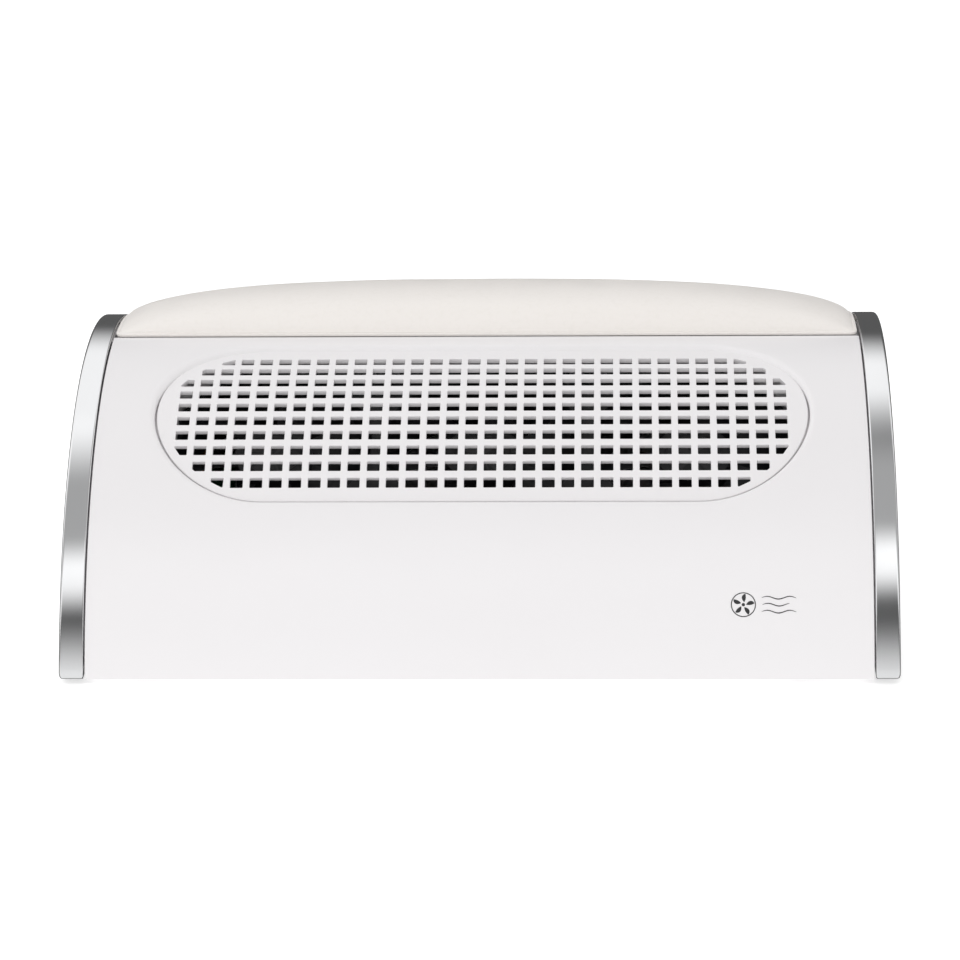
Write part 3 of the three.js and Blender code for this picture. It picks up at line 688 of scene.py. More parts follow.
def sleeve_wall(bore, wall, bottom, top):
    """A wall round a bore in the tilted frame; bottom and top are heights that vary with v."""
    rings = []
    for outset, part in [(0, 0), (0, 0.25), (0, 0.5), (0, 0.75), (0.1, 0.97), (0.4, 1),
                         (wall - 0.3, 1), (wall, 0.95), (wall, 0.02), (wall - 0.2, 0)]:
        rings.append([(p.x, p.y, bottom(p.y) + (top(p.y) - bottom(p.y)) * part)
                      for p in bore(-outset)])
    return placed(lofted(rings, around=True), TILTED)


def deck_screw_places():
    return [(u, v) for u in (-122, 122) for v in (-43, 43)]


def chrome_trim(side):
    """A plated band round the casing's end, rolled along its outer edges."""
    outer = HALF_WIDTH
    inner = HALF_WIDTH - TRIM_WIDTH
    corners = [(0, inner), (TRIM_DEPTH, inner), (TRIM_DEPTH, outer), (0, outer)]
    section = outline(corners, [0.5, 0.4, 0.5, 1.2], 6)()
    return placed(band(side_outline, [(p.x, p.y) for p in section]), sideways(side))


def sideways(side):
    """From (y, z, distance from the middle) to (x, y, z), on one side."""
    return Matrix(((0, 0, side, 0), (1, 0, 0, 0), (0, 1, 0, 0), (0, 0, 0, 1)))


def side_panel(side):
    outside = HALF_WIDTH - 3
    inner = HALF_WIDTH - TRIM_WIDTH - GAP
    field = plate(lambda inset=0.0: side_outline(TRIM_DEPTH + GAP + inset), (),
                  outside - inner + 0.2, top=1.2, bottom=0.2, steps=5)
    field = placed(field, sideways(side) @ at(0, 0, outside))
    backing = plate(lambda inset=0.0: side_outline(SEAT_DEPTH + SHELL_INSET + WALL + GAP + inset),
                    (), 3.2, 0.3, 0.3)
    backing = placed(backing, sideways(side) @ at(0, 0, inner))
    x0, x1 = sorted((side * 130, side * (inner - 2)))
    blocks = [block(x0, x1, y - 6, y + 6, BASE_Z + WALL + GAP, 16) for y in (26, 200)]
    rear = BACK_Y - WALL - GAP
    return joined(field, backing, *blocks, block(x0, x1, rear - 13, rear, 35, 45))


def base_tray():
    outer = rectangle(2 * SHELL_HALF, BACK_Y - 8.2, 2, 0, BACK_Y / 2 + 1.3)
    holes = [circle(2.6, x, y, 24) for x, y in foot_places()]
    holes += [circle(3.4, x, y, 24) for x, y in base_screw_places()]
    top = BASE_Z + WALL
    tray = placed(plate(outer, holes, WALL, 0.3, 0.6), at(0, 0, top))
    ribs = [block(-110, 110, y - 0.8, y + 0.8, top - 0.5, top + 3, 0.3) for y in (48, 84)]
    return joined(tray, *ribs)


def upright(y):
    """From (x, z, height) to the rear panel's frame, whose outside is at y."""
    return Matrix(((1, 0, 0, 0), (0, 0, 1, y), (0, 1, 0, 0), (0, 0, 0, 1)))


OUTLET = {"half": 95, "low": 12, "high": 40, "corner": 8, "wall": 2.2, "end": 234}
SWITCH_X, SWITCH_Z = 122, 27
INLET_X, INLET_Z = -122, 25
REAR_SCREW_X, REAR_SCREW_Z = 136, 40


def outlet_outline(grow=0.0):
    low, high = OUTLET["low"], OUTLET["high"]
    return rectangle(2 * (OUTLET["half"] + grow), high - low + 2 * grow, OUTLET["corner"] + grow,
                     0, (low + high) / 2, 8)


def rear_panel():
    top = arch(asin((BACK_Y - ARC_Y) / SHELL_R), SHELL_INSET).y - 0.2
    bottom = BASE_Z + GAP
    outer = rectangle(2 * SHELL_HALF, top - bottom, 1.5, 0, (top + bottom) / 2)
    holes = [outlet_outline(0.4), rectangle(13.4, 19.4, 0.4, SWITCH_X, SWITCH_Z),
             rectangle(20.8, 12.4, 0.4, INLET_X, INLET_Z)]
    holes += [circle(1.9, side * REAR_SCREW_X, REAR_SCREW_Z, 24) for side in (-1, 1)]
    return placed(plate(outer, holes, WALL, 0.5, 0.2), upright(BACK_Y))


for side, name in ((-1, "left"), (1, "right")):
    stands_for(f"chrome_trim_{name}", chrome_trim(side))
    stands_for(f"side_panel_{name}", side_panel(side))


# ---------------------------------------------------------------- grille
def clipped(corners, normal, limit):
    """The part of a convex polygon on the near side of a line."""
    kept = []
    for p, q in zip(corners, corners[1:] + corners[:1]):
        dp, dq = p.dot(normal) - limit, q.dot(normal) - limit
        if dp <= 0:
            kept.append(p)
        if dp * dq < 0:
            kept.append(p.lerp(q, dp / (dp - dq)))
    return [p for i, p in enumerate(kept) if (p - kept[i - 1]).length > 0.5]


def grille_holes():
    """Rows of rectangular holes, those at the rounded ends cut off along the field's edge."""
    holes = []
    width, height = HOLE_SIZE
    for row in range(HOLE_ROWS):
        for column in range(HOLE_COLUMNS):
            u = (column - (HOLE_COLUMNS - 1) / 2) * HOLE_PITCH[0]
            v = (row - (HOLE_ROWS - 1) / 2) * HOLE_PITCH[1]
            corners = [Vector((u + a * width / 2, v + b * height / 2))
                       for a, b in ((-1, -1), (1, -1), (1, 1), (-1, 1))]
            near = Vector((max(abs(u) - width / 2 - FIELD_CENTRE, 0), abs(v) - height / 2))
            if near.length > FIELD_RADIUS - 1.5:
                continue
            far = Vector((abs(u) + width / 2 - FIELD_CENTRE, abs(v) + height / 2))
            if far.x > 0 and far.length > FIELD_RADIUS:
                right, up = (1 if u > 0 else -1), (1 if v > 0 else -1)
                normal = Vector((far.x * right, far.y * up)).normalized()
                centre = Vector((FIELD_CENTRE * right, 0))
                corners = clipped(corners, normal, centre.dot(normal) + FIELD_RADIUS)
            holes.append(outline(corners, 0.35, 3))
    return holes


CLIP_END = -13.5
CLIP_PLACES = (-70, 70)


def grille_insert():
    half = 0.33
    upper, lower = [[Vector((r * sin(a), r * cos(a) - ARC_R)) for a in spread(-half, half, 36)]
                    for r in (GRILLE_R, GRILLE_R - GRILLE_THICK)]
    rim = wrapped(stadium(*GRILLE_SIZE, GRILLE_SHIFT), GRILLE_R)
    sheet = plate(rim, grille_holes(), GRILLE_THICK, 0.5, at_holes=(0.2, 0.15), steps=5)
    insert = bent(placed(sheet, at(0, half * GRILLE_R, 0)), upper, lower)
    end = THROAT_SIZE[0] / 2 - 1.8
    beside = THROAT_SIZE[1] / 2 - 1.8
    clips = []
    for side in (-1, 1):
        v = GRILLE_SHIFT + side * beside
        clips.append(block(side * end - 0.8, side * end + 0.8, GRILLE_SHIFT - 6, GRILLE_SHIFT + 6,
                           CLIP_END, arch_height(0, ARC_R - GRILLE_R + 1.5)))
        clips += [block(u - 6, u + 6, v - 0.8, v + 0.8, CLIP_END,
                        arch_height(abs(v) + 0.8, ARC_R - GRILLE_R + 1.5)) for u in CLIP_PLACES]
    return joined(insert, *clips)


# ---------------------------------------------------------------- fans
def fan_screw_places():
    return [(a * FAN_SCREW, b * FAN_SCREW) for a, b in ((-1, -1), (1, -1), (1, 1), (-1, 1))]


def fan_matrix(i):
    return TILTED @ at((i - 1) * FAN_PITCH, 0, FAN_TOP)


def fan_deck():
    offsets = [(i - 1) * FAN_PITCH for i in range(3)]
    holes = [circle(38, u, 0, 72) for u in offsets]
    holes += [circle(2.4, u + du, v, 16) for u in offsets for du, v in fan_screw_places()]
    holes += [circle(1.8, u, v, 16) for u, v in deck_screw_places()]
    return placed(plate(rectangle(254, 96, 5), holes, WALL, 0.5, 0.3), at(0, 0, DECK_TOP))


def fan_frame():
    holes = [circle(38.5, sides=72)] + [circle(2.4, x, y, 16) for x, y in fan_screw_places()]
    flange = [placed(plate(rectangle(FAN_SIZE, FAN_SIZE, 4), holes, 4, 0.7, 0.5),
                     at(0, 0, z)) for z in (0, 4 - FAN_DEPTH)]
    tube = band(circle(FAN_SIZE / 2 - 0.1, sides=72),
                outline([(0, 1 - FAN_DEPTH), (1.4, 1 - FAN_DEPTH), (1.4, -1), (0, -1)], 0.2, 2)())
    hub = turned(rounded_profile([(0, -FAN_DEPTH), (15.5, -FAN_DEPTH), (15.5, 3 - FAN_DEPTH),
                                  (0, 3 - FAN_DEPTH)], 0.5))
    struts = [placed(block(14.5, 39, -2, 2, -FAN_DEPTH, 3 - FAN_DEPTH, 0.6),
                     turned_about("Z", radians(a))) for a in (20, 110, 200, 290)]
    return joined(*flange, tube, hub, *struts)


def fan_blade(turn):
    """One blade: a cambered section twisted flatter and swept round towards the tip."""
    rings = []
    for t in spread(0, 1, 12):
        radius = 14.4 + 22.5 * t
        pitch = radians(44 - 17 * t)
        chord = 17 + 5.5 * t
        ring = []
        for a in [2 * pi * i / 28 for i in range(28)]:
            along = cos(a) * chord / 2
            camber = 1.5 * (1 - (2 * along / chord) ** 2)
            thick = 0.75 * sin(a) * (1 - 0.45 * cos(a)) * (1 - 0.25 * t)
            lift = camber + thick
            across = along * cos(pitch) - lift * sin(pitch)
            up = along * sin(pitch) + lift * cos(pitch)
            swing = turn + across / radius + 0.16 * t * t
            ring.append((radius * cos(swing), radius * sin(swing), up - 12))
        rings.append(ring)
    return lofted(rings)


def fan_rotor():
    top, rim = -3, 5 - FAN_DEPTH
    hub = turned(rounded_profile([(0, rim + 8), (12.7, rim + 8), (12.7, rim), (15, rim), (15, top),
                                  (11, top), (10.4, top - 0.5), (0, top - 0.5)], 0.5), 72)
    shaft = turned(rounded_profile([(0, rim), (1.5, rim), (1.5, rim + 9), (0, rim + 9)], 0.2), 24)
    return joined(hub, shaft, *[fan_blade(2 * pi * i / 7 + 0.3) for i in range(7)])


def screw(head_radius, head_height, shank_radius, length):
    """A pan-head screw with a cross recess, hanging from its head's underside."""
    roll = head_height * 0.6
    arm, half = (head_radius - roll) * 0.82, head_radius * 0.13
    cross = outline([(half, half), (half, arm), (-half, arm), (-half, half), (-arm, half),
                     (-arm, -half), (-half, -half), (-half, -arm), (half, -arm), (half, -half),
                     (arm, -half), (arm, half)], 0.06, 2)
    head = placed(plate(circle(head_radius, sides=32), [cross], head_height, roll, 0.15,
                        at_holes=(0.06, 0.02)), at(0, 0, head_height))
    floor = head_height * 0.35
    shank = [(0, -length), (shank_radius * 0.5, -length), (shank_radius, 1 - length)]
    turns = max(int((length - 1.6) / 0.6), 3)
    for z in spread(1.2 - length, -0.4, turns):
        shank += [(shank_radius * 0.82, z - 0.15), (shank_radius, z + 0.15)]
    shank += [(shank_radius * 0.9, 0), (head_radius * 0.8, 0.1), (head_radius * 0.8, floor), (0, floor)]
    return joined(head, turned(shank, 24))


# ---------------------------------------------------------------- hand rest
REST_MIDDLE = (SEAT_FROM + SEAT_TO) / 2
PAD_HALF = 144
PAD_RISE = 13.8
PAD_BASE = SHELL_R + 2 * GAP
PAD_HALF_ANGLE = (SEAT_TO - SEAT_FROM) / 2 - radians(0.3)
PAD_STEPS = (112, 40)
AIR_PRESSURE = 4
CLOTH_STIFFNESS = 2.5
CLOTH_FRAMES = 20
REST_SCREW_X = 90


def on_arch(solid, radius, middle):
    """Wraps a solid drawn in (x, distance, height) round the arch, from an angle in the middle."""
    for v in solid.verts:
        x, along, height = v.co
        v.co = (x, *arch(middle + along / radius, ARC_R - radius - height))
    return solid


def hand_rest_board():
    top = SHELL_R - SEAT_DEPTH + GAP + 3
    width = top * (SEAT_TO - SEAT_FROM - radians(1.2))
    sheet = plate(rectangle(2 * PAD_HALF - 2, width, 2), (), 3, 0.5, 0.5)
    for along in spread(-width / 2, width / 2, 24)[1:-1]:
        bmesh.ops.bisect_plane(sheet, geom=sheet.verts[:] + sheet.edges[:] + sheet.faces[:],
                               dist=1e-3, plane_co=(0, along, 0), plane_no=(0, 1, 0))
    return on_arch(sheet, top, REST_MIDDLE)


def cushion_skin(drop=0.0):
    """The cushion's closed skin, its sides running to nothing at the seam; drop takes air out."""
    columns, rows = PAD_STEPS
    across = [sin(t) for t in spread(-pi / 2, pi / 2, columns)]
    along = [-cos(t) for t in spread(0, pi, rows)]

    def point(u, v, top):
        lift = PAD_RISE * sqrt(max(1 - abs(u) ** 2.9, 0)) * max(1 - abs(v) ** 2.6, 0) ** (1 / 2.6)
        lift = max(lift - drop * min(lift / 4, 1), 0) if top else 0
        return (u * PAD_HALF, *arch(REST_MIDDLE + v * PAD_HALF_ANGLE, ARC_R - PAD_BASE - lift))
    rings = [[point(u, v, True) for v in along] + [point(u, v, False) for v in along[-2:0:-1]]
             for u in across]
    return lofted(rings, caps=False)


def inflated(skin, reach):
    """Blows a skin up with Cloth, held along its seam and underside; no point goes past reach."""
    mesh = bpy.data.meshes.new("air")
    skin.to_mesh(mesh)
    mesh.transform(TO_FRAME)
    balloon = bpy.data.objects.new("air", mesh)
    bpy.context.scene.collection.objects.link(balloon)
    held = balloon.vertex_groups.new(name="held")
    for v in skin.verts:
        height = (v.co.yz - Vector((ARC_Y, ARC_Z))).length - PAD_BASE
        held.add([v.index], 1.0 if height < 0.02 else max(0.7 - height / 2, 0), "REPLACE")
    cloth = balloon.modifiers.new("air", "CLOTH")
    cloth.settings.use_pressure = True
    cloth.settings.uniform_pressure_force = AIR_PRESSURE
    cloth.settings.vertex_group_mass = "held"
    cloth.settings.tension_stiffness = CLOTH_STIFFNESS
    cloth.settings.compression_stiffness = CLOTH_STIFFNESS
    cloth.settings.shear_stiffness = 1
    cloth.settings.effector_weights.gravity = 0
    cloth.collision_settings.use_collision = False
    for step in range(1, CLOTH_FRAMES + 1):
        bpy.context.scene.frame_set(step)
    blown = balloon.evaluated_get(bpy.context.evaluated_depsgraph_get()).data
    back = TO_FRAME.inverted()
    for v, after in zip(skin.verts, blown.vertices):
        move = back @ after.co - v.co
        v.co += move * min(1, reach / max(move.length, 1e-6))
    bpy.context.scene.frame_set(1)
    bpy.data.objects.remove(balloon)
    return skin


def welt():
    """The hem round the cushion's seam, and the leather drawn down past the board's edge."""
    width = 2 * PAD_BASE * PAD_HALF_ANGLE
    edge = evenly(rectangle(2 * PAD_HALF, width, 1.6), 460)
    fold = outline([(-0.95, -0.56), (0.3, -0.56), (0.3, 0.75), (-0.95, 0.4)],
                   [0.08, 0.05, 0.2, 0.4], 4)()
    pipe = band(edge, [(p.x, p.y) for p in fold])
    border = outline([(0.05, -3), (0.6, -3), (0.6, 0.2), (0.05, 0.2)], 0.1, 2)()
    return on_arch(joined(pipe, band(edge, [(p.x, p.y) for p in border])), PAD_BASE, REST_MIDDLE)


def hand_rest_pad():
    """The cushion: an air-filled skin, with small puckers where it is drawn into the seam."""
    skin = inflated(welded(cushion_skin(0.5)), 1.5)
    for v in skin.verts:
        out = Vector((0, v.co.y - ARC_Y, v.co.z - ARC_Z))
        height = out.length - PAD_BASE
        if height > 0.05:
            ends = 0.35 + 0.65 * abs(v.co.x / PAD_HALF) ** 3
            pucker = noise.noise((v.co.x * 0.13, 0.5, 2)) + 0.5 * noise.noise((v.co.x * 0.4, 4, 2))
            soft = noise.noise(v.co * 0.035)
            amount = 0.55 * pucker * ends * min(height, 1) * 2.7 ** (-height / 2.6) + 0.16 * soft
            v.co += out.normalized() * amount * min(height, 1)
    return joined(skin, welt())


# ---------------------------------------------------------------- feet and their places
def foot_places():
    return [(side * 120, y) for side in (-1, 1) for y in (18, 205)]


def base_screw_places():
    return [(side * 136, y) for side in (-1, 1) for y in (26, 200)]


def foot():
    top = BASE_Z - GAP
    profile = [(0, 0.5), (2.4, 0.5), (2.8, 0), (6.4, 0), (7, 0.6), (7, top), (2.2, top),
               (2.2, top + 4.2), (0, top + 4.2)]
    return turned(rounded_profile(profile, 0.25))


# ---------------------------------------------------------------- outlet and bag
def outlet_collar():
    wall, end = OUTLET["wall"], OUTLET["end"]
    face = BACK_Y + GAP
    section = outline([(wall, BACK_Y - 4), (wall, end), (-1.5, end), (-1.5, end - 2.5), (0, end - 2.5),
                       (0, face + 2), (-4, face + 2), (-4, face), (0, face), (0, BACK_Y - 4)],
                      [0.4, 0.8, 0.8, 0.5, 0.3, 0.3, 0.8, 0.2, 0.1, 0.4], 4)()
    collar = band(outlet_outline(), [(p.x, p.y) for p in section])
    return placed(collar, upright(0))


BAG_FROM, BAG_OPEN, BAG_END = 225, 240, 285.6


def bag_ring(y, grow):
    """A ring of the bag's cloth: gathered at the neck, full behind it, sagging to an end seam."""
    full = smooth((y - 230) / (BAG_OPEN - 230))
    far = min(max((y - 246) / (BAG_END - 246), 0), 1)
    flat = sqrt(max(1 - far ** 2.6, 0))
    seam = 15.5 - 4 * far
    half = 98.4 + 8 * full - 3.2 * far ** 3
    high = seam + max((43.1 + 0.4 * full - 3.5 * full * far - seam) * flat, 0.75)
    low = seam - max((seam - 8.7 + 7.6 * full) * flat, 0.75)
    corner = min(10.5 + 3 * full, (high - low) / 2 + grow) - 0.02
    loop = rectangle(2 * (half + grow), high - low + 2 * grow, max(corner, 0.3), 0, (low + high) / 2, 12)
    ring = []
    gathers = 1 - smooth((y - 231) / 16)
    slack = full * min(flat * 1.5, 1)
    for n, p in enumerate(evenly(loop, 300)()):
        away = (p - Vector((p.x * 0.75, seam))).normalized()
        turn = n * 2 * pi / 300 * 44 + 2.5 * noise.noise((n * 0.04, 0, 0))
        fold = 0.9 * (sin(turn) - 0.4) * gathers * full ** 0.4
        around = Vector((p.x * 0.02 + y * 0.008, y * 0.045, p.y * 0.05))
        crease = 1 - abs(noise.noise(around * 1.9)) * 4
        fold += slack * (2.4 * noise.noise(around) - 1.1 * max(crease, 0) ** 2 - 0.6)
        sag = 4.5 * slack * (p.y - low) / (high - low) * (1 - (p.x / half) ** 2)
        p = p + away * fold
        ring.append((p.x, y, max(p.y - sag, 0.5 - grow)))
    return ring


def smooth(t):
    t = min(max(t, 0), 1)
    return t * t * (3 - 2 * t)


def dust_bag():
    """Two skins of cloth from the mouth to the far end, closed there, and a flat sewn hem."""
    ends = [BAG_FROM + (BAG_END - BAG_FROM) * t for t in spread(0, 1, 64)]
    ends += [BAG_END - 1.6 * (1 - t) ** 2 for t in spread(0, 1, 6)[1:]]
    outer = [bag_ring(y, 0.0) for y in sorted(ends)]
    inner = [bag_ring(y, -0.9) for y in sorted(ends) if y < BAG_END - 4]
    return lofted(inner[::-1] + outer)


def dust_bag_elastic():
    """A woven band in a gathered channel round the bag's neck."""
    low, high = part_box("dust_bag_elastic")
    width, height = (high.x - low.x) / MM, (high.z - low.z) / MM
    middle = (high.z + low.z) / 2 / MM
    loop = evenly(rectangle(width - 0.4, height - 0.4, 12, 0, middle, 12), 360)
    section = [(1.6, 226.1), (1.6, 229.9), (0.3, 229.9)]
    section += [(0.12 + 0.16 * cos(t * 8 * pi), 229.8 - 3.6 * t) for t in spread(0, 1, 32)]
    section += [(0.3, 226.1)]
    band_solid = placed(band(loop, section), upright(0))
    for v in band_solid.verts:
        turn = atan2(v.co.z - middle, v.co.x / 4)
        v.co.y += 0.12 * sin(turn * 70)
    return band_solid


# ---------------------------------------------------------------- switch and inlet
def switch_body():
    face = BACK_Y + GAP
    bezel = placed(plate(rectangle(15, 21, 1.2, SWITCH_X, SWITCH_Z),
                         [rectangle(10, 15.8, 0.5, SWITCH_X, SWITCH_Z)], 2, 0.6, 0.1), upright(face + 2))
    cup = band(rectangle(12.6, 18.6, 0.5, SWITCH_X, SWITCH_Z),
               outline([(0, face - 14), (1.3, face - 14), (1.3, face + 0.5), (0, face + 0.5)], 0.1, 2)())
    cup = placed(cup, upright(0))
    back = block(SWITCH_X - 6.2, SWITCH_X + 6.2, face - 14, face - 10, SWITCH_Z - 9.2, SWITCH_Z + 9.2)
    blades = [block(SWITCH_X - 2.4, SWITCH_X + 2.4, face - 21, face - 13, SWITCH_Z + dz - 0.4,
                    SWITCH_Z + dz + 0.4, 0.1) for dz in (-5, 5)]
    return joined(bezel, cup, back, *blades)


def switch_rocker():
    profile = [(-3, -2), (0, -5.6), (6.6, -6.2), (4.8, 0), (6.6, 6.2), (0, 5.6), (-3, 2)]
    body = placed(plate(outline(profile, [0.4, 0.4, 0.8, 12, 0.8, 0.4, 0.4], 6), (), 9.2, 0.5, 0.5),
                  sideways(1) @ at(0, 0, 4.6))
    lean = turned_about("X", atan2(1.8, 6.2))
    ring = band(circle(1.5, sides=32), outline([(0, 0), (0.45, 0), (0.45, 0.3), (0, 0.3)], 0.1, 2)())
    bar = plate(rectangle(0.45, 2.8, 0.2), (), 0.3, 0.1, 0.05)
    marks = [placed(ring, at(0, 5.75, -3.4) @ lean @ upright(0)),
             placed(bar, at(0, 5.95, 3.4) @ lean.inverted() @ upright(0))]
    return placed(joined(body, *marks), turned_about("X", radians(-10)))


def inlet_body():
    face = BACK_Y + GAP
    socket = rectangle(16, 8.4, 4.1, INLET_X, INLET_Z, 10)
    flange = plate(rectangle(25, 16, 2.5, INLET_X, INLET_Z), [socket], 1.6, 0.5, 0.1)
    flange = placed(flange, upright(face + 1.6))
    depth = [(0, face - 11), (1.4, face - 11), (1.4, face + 0.5), (0, face + 0.5)]
    cup = band(rectangle(20, 11.6, 4.6, INLET_X, INLET_Z, 10), outline(depth, 0.1, 2)())
    cup = placed(cup, upright(0))
    back = block(INLET_X - 10, INLET_X + 10, face - 17, face - 11, INLET_Z - 5.8, INLET_Z + 5.8)
    return joined(flange, cup, back)


def inlet_pin():
    return turned(rounded_profile([(0, -11), (1.18, -11), (1.18, 11), (0, 11)], 0.7), 24)


# ---------------------------------------------------------------- printed mark
def airflow_mark():
    """A generic sign on the front for what the object does: a fan, and air drawn into it."""
    print_thick = 0.07
    solids = []
    for turn in spread(0, 2 * pi, 5)[:-1]:
        petal = [Vector((1.0 + 3.1 * t, 1.15 * sin(pi * t) ** 0.7 + 0.5 * t)) for t in spread(0, 1, 10)]
        petal += [Vector((1.0 + 3.1 * t, 0.5 * t - 0.35 * sin(pi * t))) for t in spread(1, 0, 10)[1:-1]]
        spin = Matrix.Rotation(turn, 2)
        corners = [spin @ p for p in petal]
        solids.append(plate(lambda inset=0.0, corners=corners: corners, (), print_thick, 0, 0, steps=1))
    solids.append(plate(circle(4.6, sides=56), [circle(4.25, sides=56)], print_thick, 0, 0, (0, 0), 1))
    solids.append(plate(circle(0.62, sides=24), (), print_thick, 0, 0, steps=1))
    for n, (start, end) in enumerate([(6.6, 19.5), (6.9, 17), (6.6, 19.5)]):
        line = [Vector((x, (1 - n) * 2.6 + 0.5 * sin((x - start) * 0.75))) for x in spread(start, end, 40)]
        stroke = [p + Vector((0, 0.2 * sin(pi * i / 40) ** 0.4)) for i, p in enumerate(line)]
        stroke += [p - Vector((0, 0.2 * sin(pi * i / 40) ** 0.4))
                   for i, p in list(enumerate(line))[-2:0:-1]]
        stroke.reverse()
        solids.append(plate(lambda inset=0.0, corners=stroke: corners, (), print_thick, 0, 0, steps=1))
    mark = placed(joined(*solids), at(97.5, 0, print_thick))
    return on_arch(mark, SHELL_R, radians(-54.5))


# ---------------------------------------------------------------- put together
stands_for("upper_shell", upper_shell())
stands_for("base_tray", base_tray())
stands_for("rear_panel", rear_panel())
stands_for("grille_insert", grille_insert(), TILTED)
stands_for("fan_deck", fan_deck(), TILTED)
for i, name in enumerate(FANS):
    stands_for(f"fan_frame_{name}", fan_frame(), fan_matrix(i))
    stands_for(f"fan_rotor_{name}", fan_rotor(), fan_matrix(i))
    for n, (x, y) in enumerate(fan_screw_places()):
        stands_for(f"fan_screw_{name}_{n + 1}", screw(3, 1.8, 1.8, 11),
                   fan_matrix(i) @ at(x, y, DECK_TOP + GAP - FAN_TOP))
for n, (u, v) in enumerate(deck_screw_places()):
    stands_for(f"deck_screw_{n + 1}", screw(2.8, 1.8, 1.3, 7.5), TILTED
               @ at(u, v, DECK_TOP - WALL - GAP) @ turned_about("X", pi))
stands_for("hand_rest_board", hand_rest_board())
pad = stands_for("hand_rest_pad", hand_rest_pad(), sharp=radians(75))
for n, (x, y) in enumerate(foot_places()):
    stands_for(f"foot_{n + 1}", foot(), at(x, y, 0))
for n, (x, y) in enumerate(base_screw_places()):
    stands_for(f"base_screw_{n + 1}", screw(3, 1, 1.5, 9.5),
               at(x, y, BASE_Z + 0.9) @ turned_about("X", pi))
for n, side in enumerate((-1, 1)):
    stands_for(f"rear_screw_{n + 1}", screw(3.2, 1.8, 1.5, 12),
               at(side * REAR_SCREW_X, BACK_Y + GAP, REAR_SCREW_Z)
               @ turned_about("X", -pi / 2))
    stands_for(f"inlet_pin_{n + 1}", inlet_pin(),
               at(INLET_X + side * 4.3, BACK_Y - 12, INLET_Z) @ turned_about("X", pi / 2))
for n, side in enumerate((-1, 1)):
    seat = arch(REST_MIDDLE, SHELL_INSET + SEAT_DEPTH + WALL + GAP)
    stands_for(f"hand_rest_screw_{n + 1}", screw(3.6, 2, 1.5, 5.2),
               at(side * REST_SCREW_X, *seat)
               @ turned_about("X", pi - REST_MIDDLE))
stands_for("outlet_collar", outlet_collar())
stands_for("dust_bag", dust_bag(), sharp=radians(70))
stands_for("dust_bag_elastic", dust_bag_elastic())
stands_for("switch_body", switch_body())
stands_for("switch_rocker", switch_rocker(), at(SWITCH_X, BACK_Y - 2, SWITCH_Z))
stands_for("inlet_body", inlet_body())

mark = shown("airflow_mark", mesh_of("airflow_mark", airflow_mark()), finishes["print_ink"], "housing")

for node, piece in frame["nodes"].items():
    if node not in replaced:
        for slot in piece.material_slots:
            slot.material = finishes[SLOTS[node]]


# ---------------------------------------------------------------- studio
def floor():
    mesh = bpy.data.meshes.new("floor")
    size = 8.0
    corners = [(-size, -size, 0), (size, -size, 0), (size, size, 0), (-size, size, 0)]
    mesh.from_pydata(corners, [], [(0, 1, 2, 3)])
    made = Finish("floor", (0.86, 0.86, 0.86), 0.7)
    made.shader.inputs["Emission Color"].default_value = (1, 1, 1, 1)
    made.shader.inputs["Emission Strength"].default_value = 0.5
    made.tint(made.noise(3), (0.84, 0.84, 0.84), 0.5)
    made.material.cycles.emission_sampling = "NONE"
    mesh.materials.append(made.material)
    piece = bpy.data.objects.new("floor", mesh)
    bpy.context.scene.collection.objects.link(piece)
    piece.visible_glossy = False


# The lights that the chrome mirrors. Angles are in degrees from straight up, towards the front
# (+) or the back (-): where a light starts and ends, seen from the object's right end and from
# its left end, then how far its edges fade, and how bright it is.
LIGHTS = {
    "back_softbox": ((-47, -37), (-57, -21), 26, 0.9),
    "ceiling": ((0, 20), (0, 20), 28, 0.3),
    "front_strip": ((29, 33), (34, 38), 12, 0.85),
    "front_wall": ((70, 190), (70, 190), 22, 0.75),
}
ROOM = 0.1


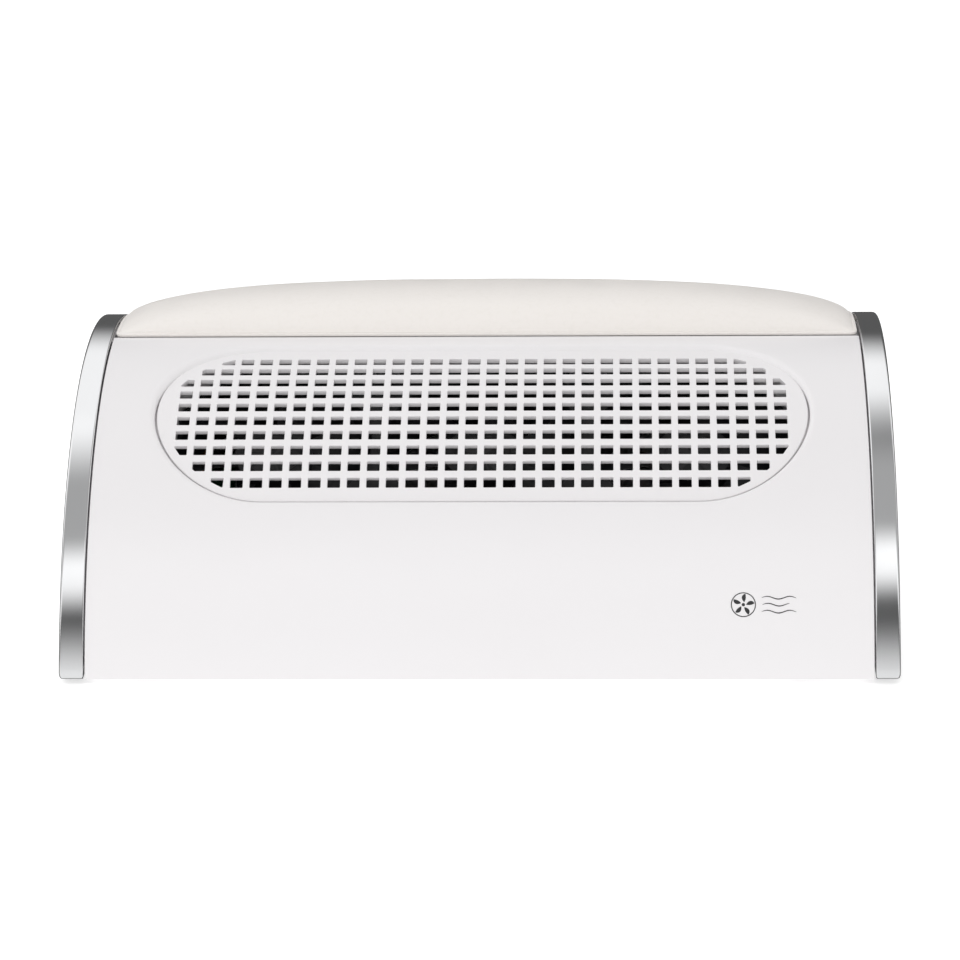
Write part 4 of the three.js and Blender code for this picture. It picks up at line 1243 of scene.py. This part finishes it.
def studio():
    """A dim room with four soft lights, and a white backdrop that only the camera sees."""
    world = bpy.data.worlds.new("studio")
    bpy.context.scene.world = world
    world.use_nodes = True
    tree = world.node_tree
    tree.nodes.clear()

    def math(kind, *values):
        return add_node(tree, "ShaderNodeMath", dict(enumerate(values)), operation=kind).outputs[0]
    towards = add_node(tree, "ShaderNodeTexCoord").outputs["Generated"]
    x, y, z = add_node(tree, "ShaderNodeSeparateXYZ", {0: towards}).outputs
    angle = math("DEGREES", math("ARCTAN2", math("MULTIPLY", y, -1), z))
    leftward = add_node(tree, "ShaderNodeMapRange", {
        "Value": x, "From Min": 0.07, "From Max": -0.13}).outputs["Result"]
    level = ROOM
    for right, left, fade, brightness in LIGHTS.values():
        middles = [(start + end) / 2 for start, end in (right, left)]
        halves = [(end - start) / 2 for start, end in (right, left)]
        middle = math("MULTIPLY_ADD", leftward, middles[1] - middles[0], middles[0])
        half = math("MULTIPLY_ADD", leftward, halves[1] - halves[0], halves[0])
        beyond = math("SUBTRACT", math("ABSOLUTE", math("SUBTRACT", angle, middle)), half)
        glow = add_node(tree, "ShaderNodeMapRange", {
            "Value": beyond, "From Min": 0, "From Max": fade, "To Min": brightness, "To Max": 0},
            interpolation_type="SMOOTHSTEP").outputs["Result"]
        level = math("ADD", level, glow)
    light = add_node(tree, "ShaderNodeBackground", {"Color": (1, 1, 1, 1), "Strength": level})
    backdrop = add_node(tree, "ShaderNodeBackground", {"Color": (1, 1, 1, 1)})
    seen = add_node(tree, "ShaderNodeLightPath").outputs["Is Camera Ray"]
    mixed = add_node(tree, "ShaderNodeMixShader", {
        0: seen, 1: light.outputs[0], 2: backdrop.outputs[0]})
    add_node(tree, "ShaderNodeOutputWorld", {"Surface": mixed.outputs[0]})
    bpy.context.scene.view_settings.view_transform = "Standard"

    soft_light("front_light", (-0.35, -1.6, 1.9), 19.5)
    soft_light("top_light", (0.0, 1.1, 2.0), 4)


def soft_light(name, place, watts):
    """A large soft light that smooth surfaces don't mirror, aimed at the object."""
    lamp = bpy.data.lights.new(name, "AREA")
    lamp.shape = "RECTANGLE"
    lamp.size, lamp.size_y = 2.2, 1.4
    lamp.energy = watts
    piece = bpy.data.objects.new(name, lamp)
    bpy.context.scene.collection.objects.link(piece)
    piece.location = place
    piece.rotation_euler = Vector(place).to_track_quat("Z", "Y").to_euler()
    piece.visible_glossy = False
    piece.visible_camera = False


CAMERA_PLACE = (0.0483, -1.40565, 0.6456)
LENS = 144.4
DOWN, LEFT = radians(24), radians(1.923)
ROLL = 0.0018


def camera():
    """The camera stands right of the middle, looks down 24 degrees and keeps the object level."""
    data = bpy.data.cameras.new("camera")
    data.sensor_width = 36
    data.lens = LENS
    piece = bpy.data.objects.new("camera", data)
    bpy.context.scene.collection.objects.link(piece)
    forward = Vector((-sin(LEFT), cos(LEFT) * cos(DOWN), -cos(LEFT) * sin(DOWN)))
    level = Vector((1, 0, 0)) - forward * forward.x
    right = (level.normalized() + ROLL * forward.cross(level)).normalized()
    up = right.cross(forward)
    turn = Matrix((right, up, -forward)).transposed().to_4x4()
    piece.matrix_world = Matrix.Translation(CAMERA_PLACE) @ turn
    bpy.context.scene.camera = piece


floor()
studio()
camera()
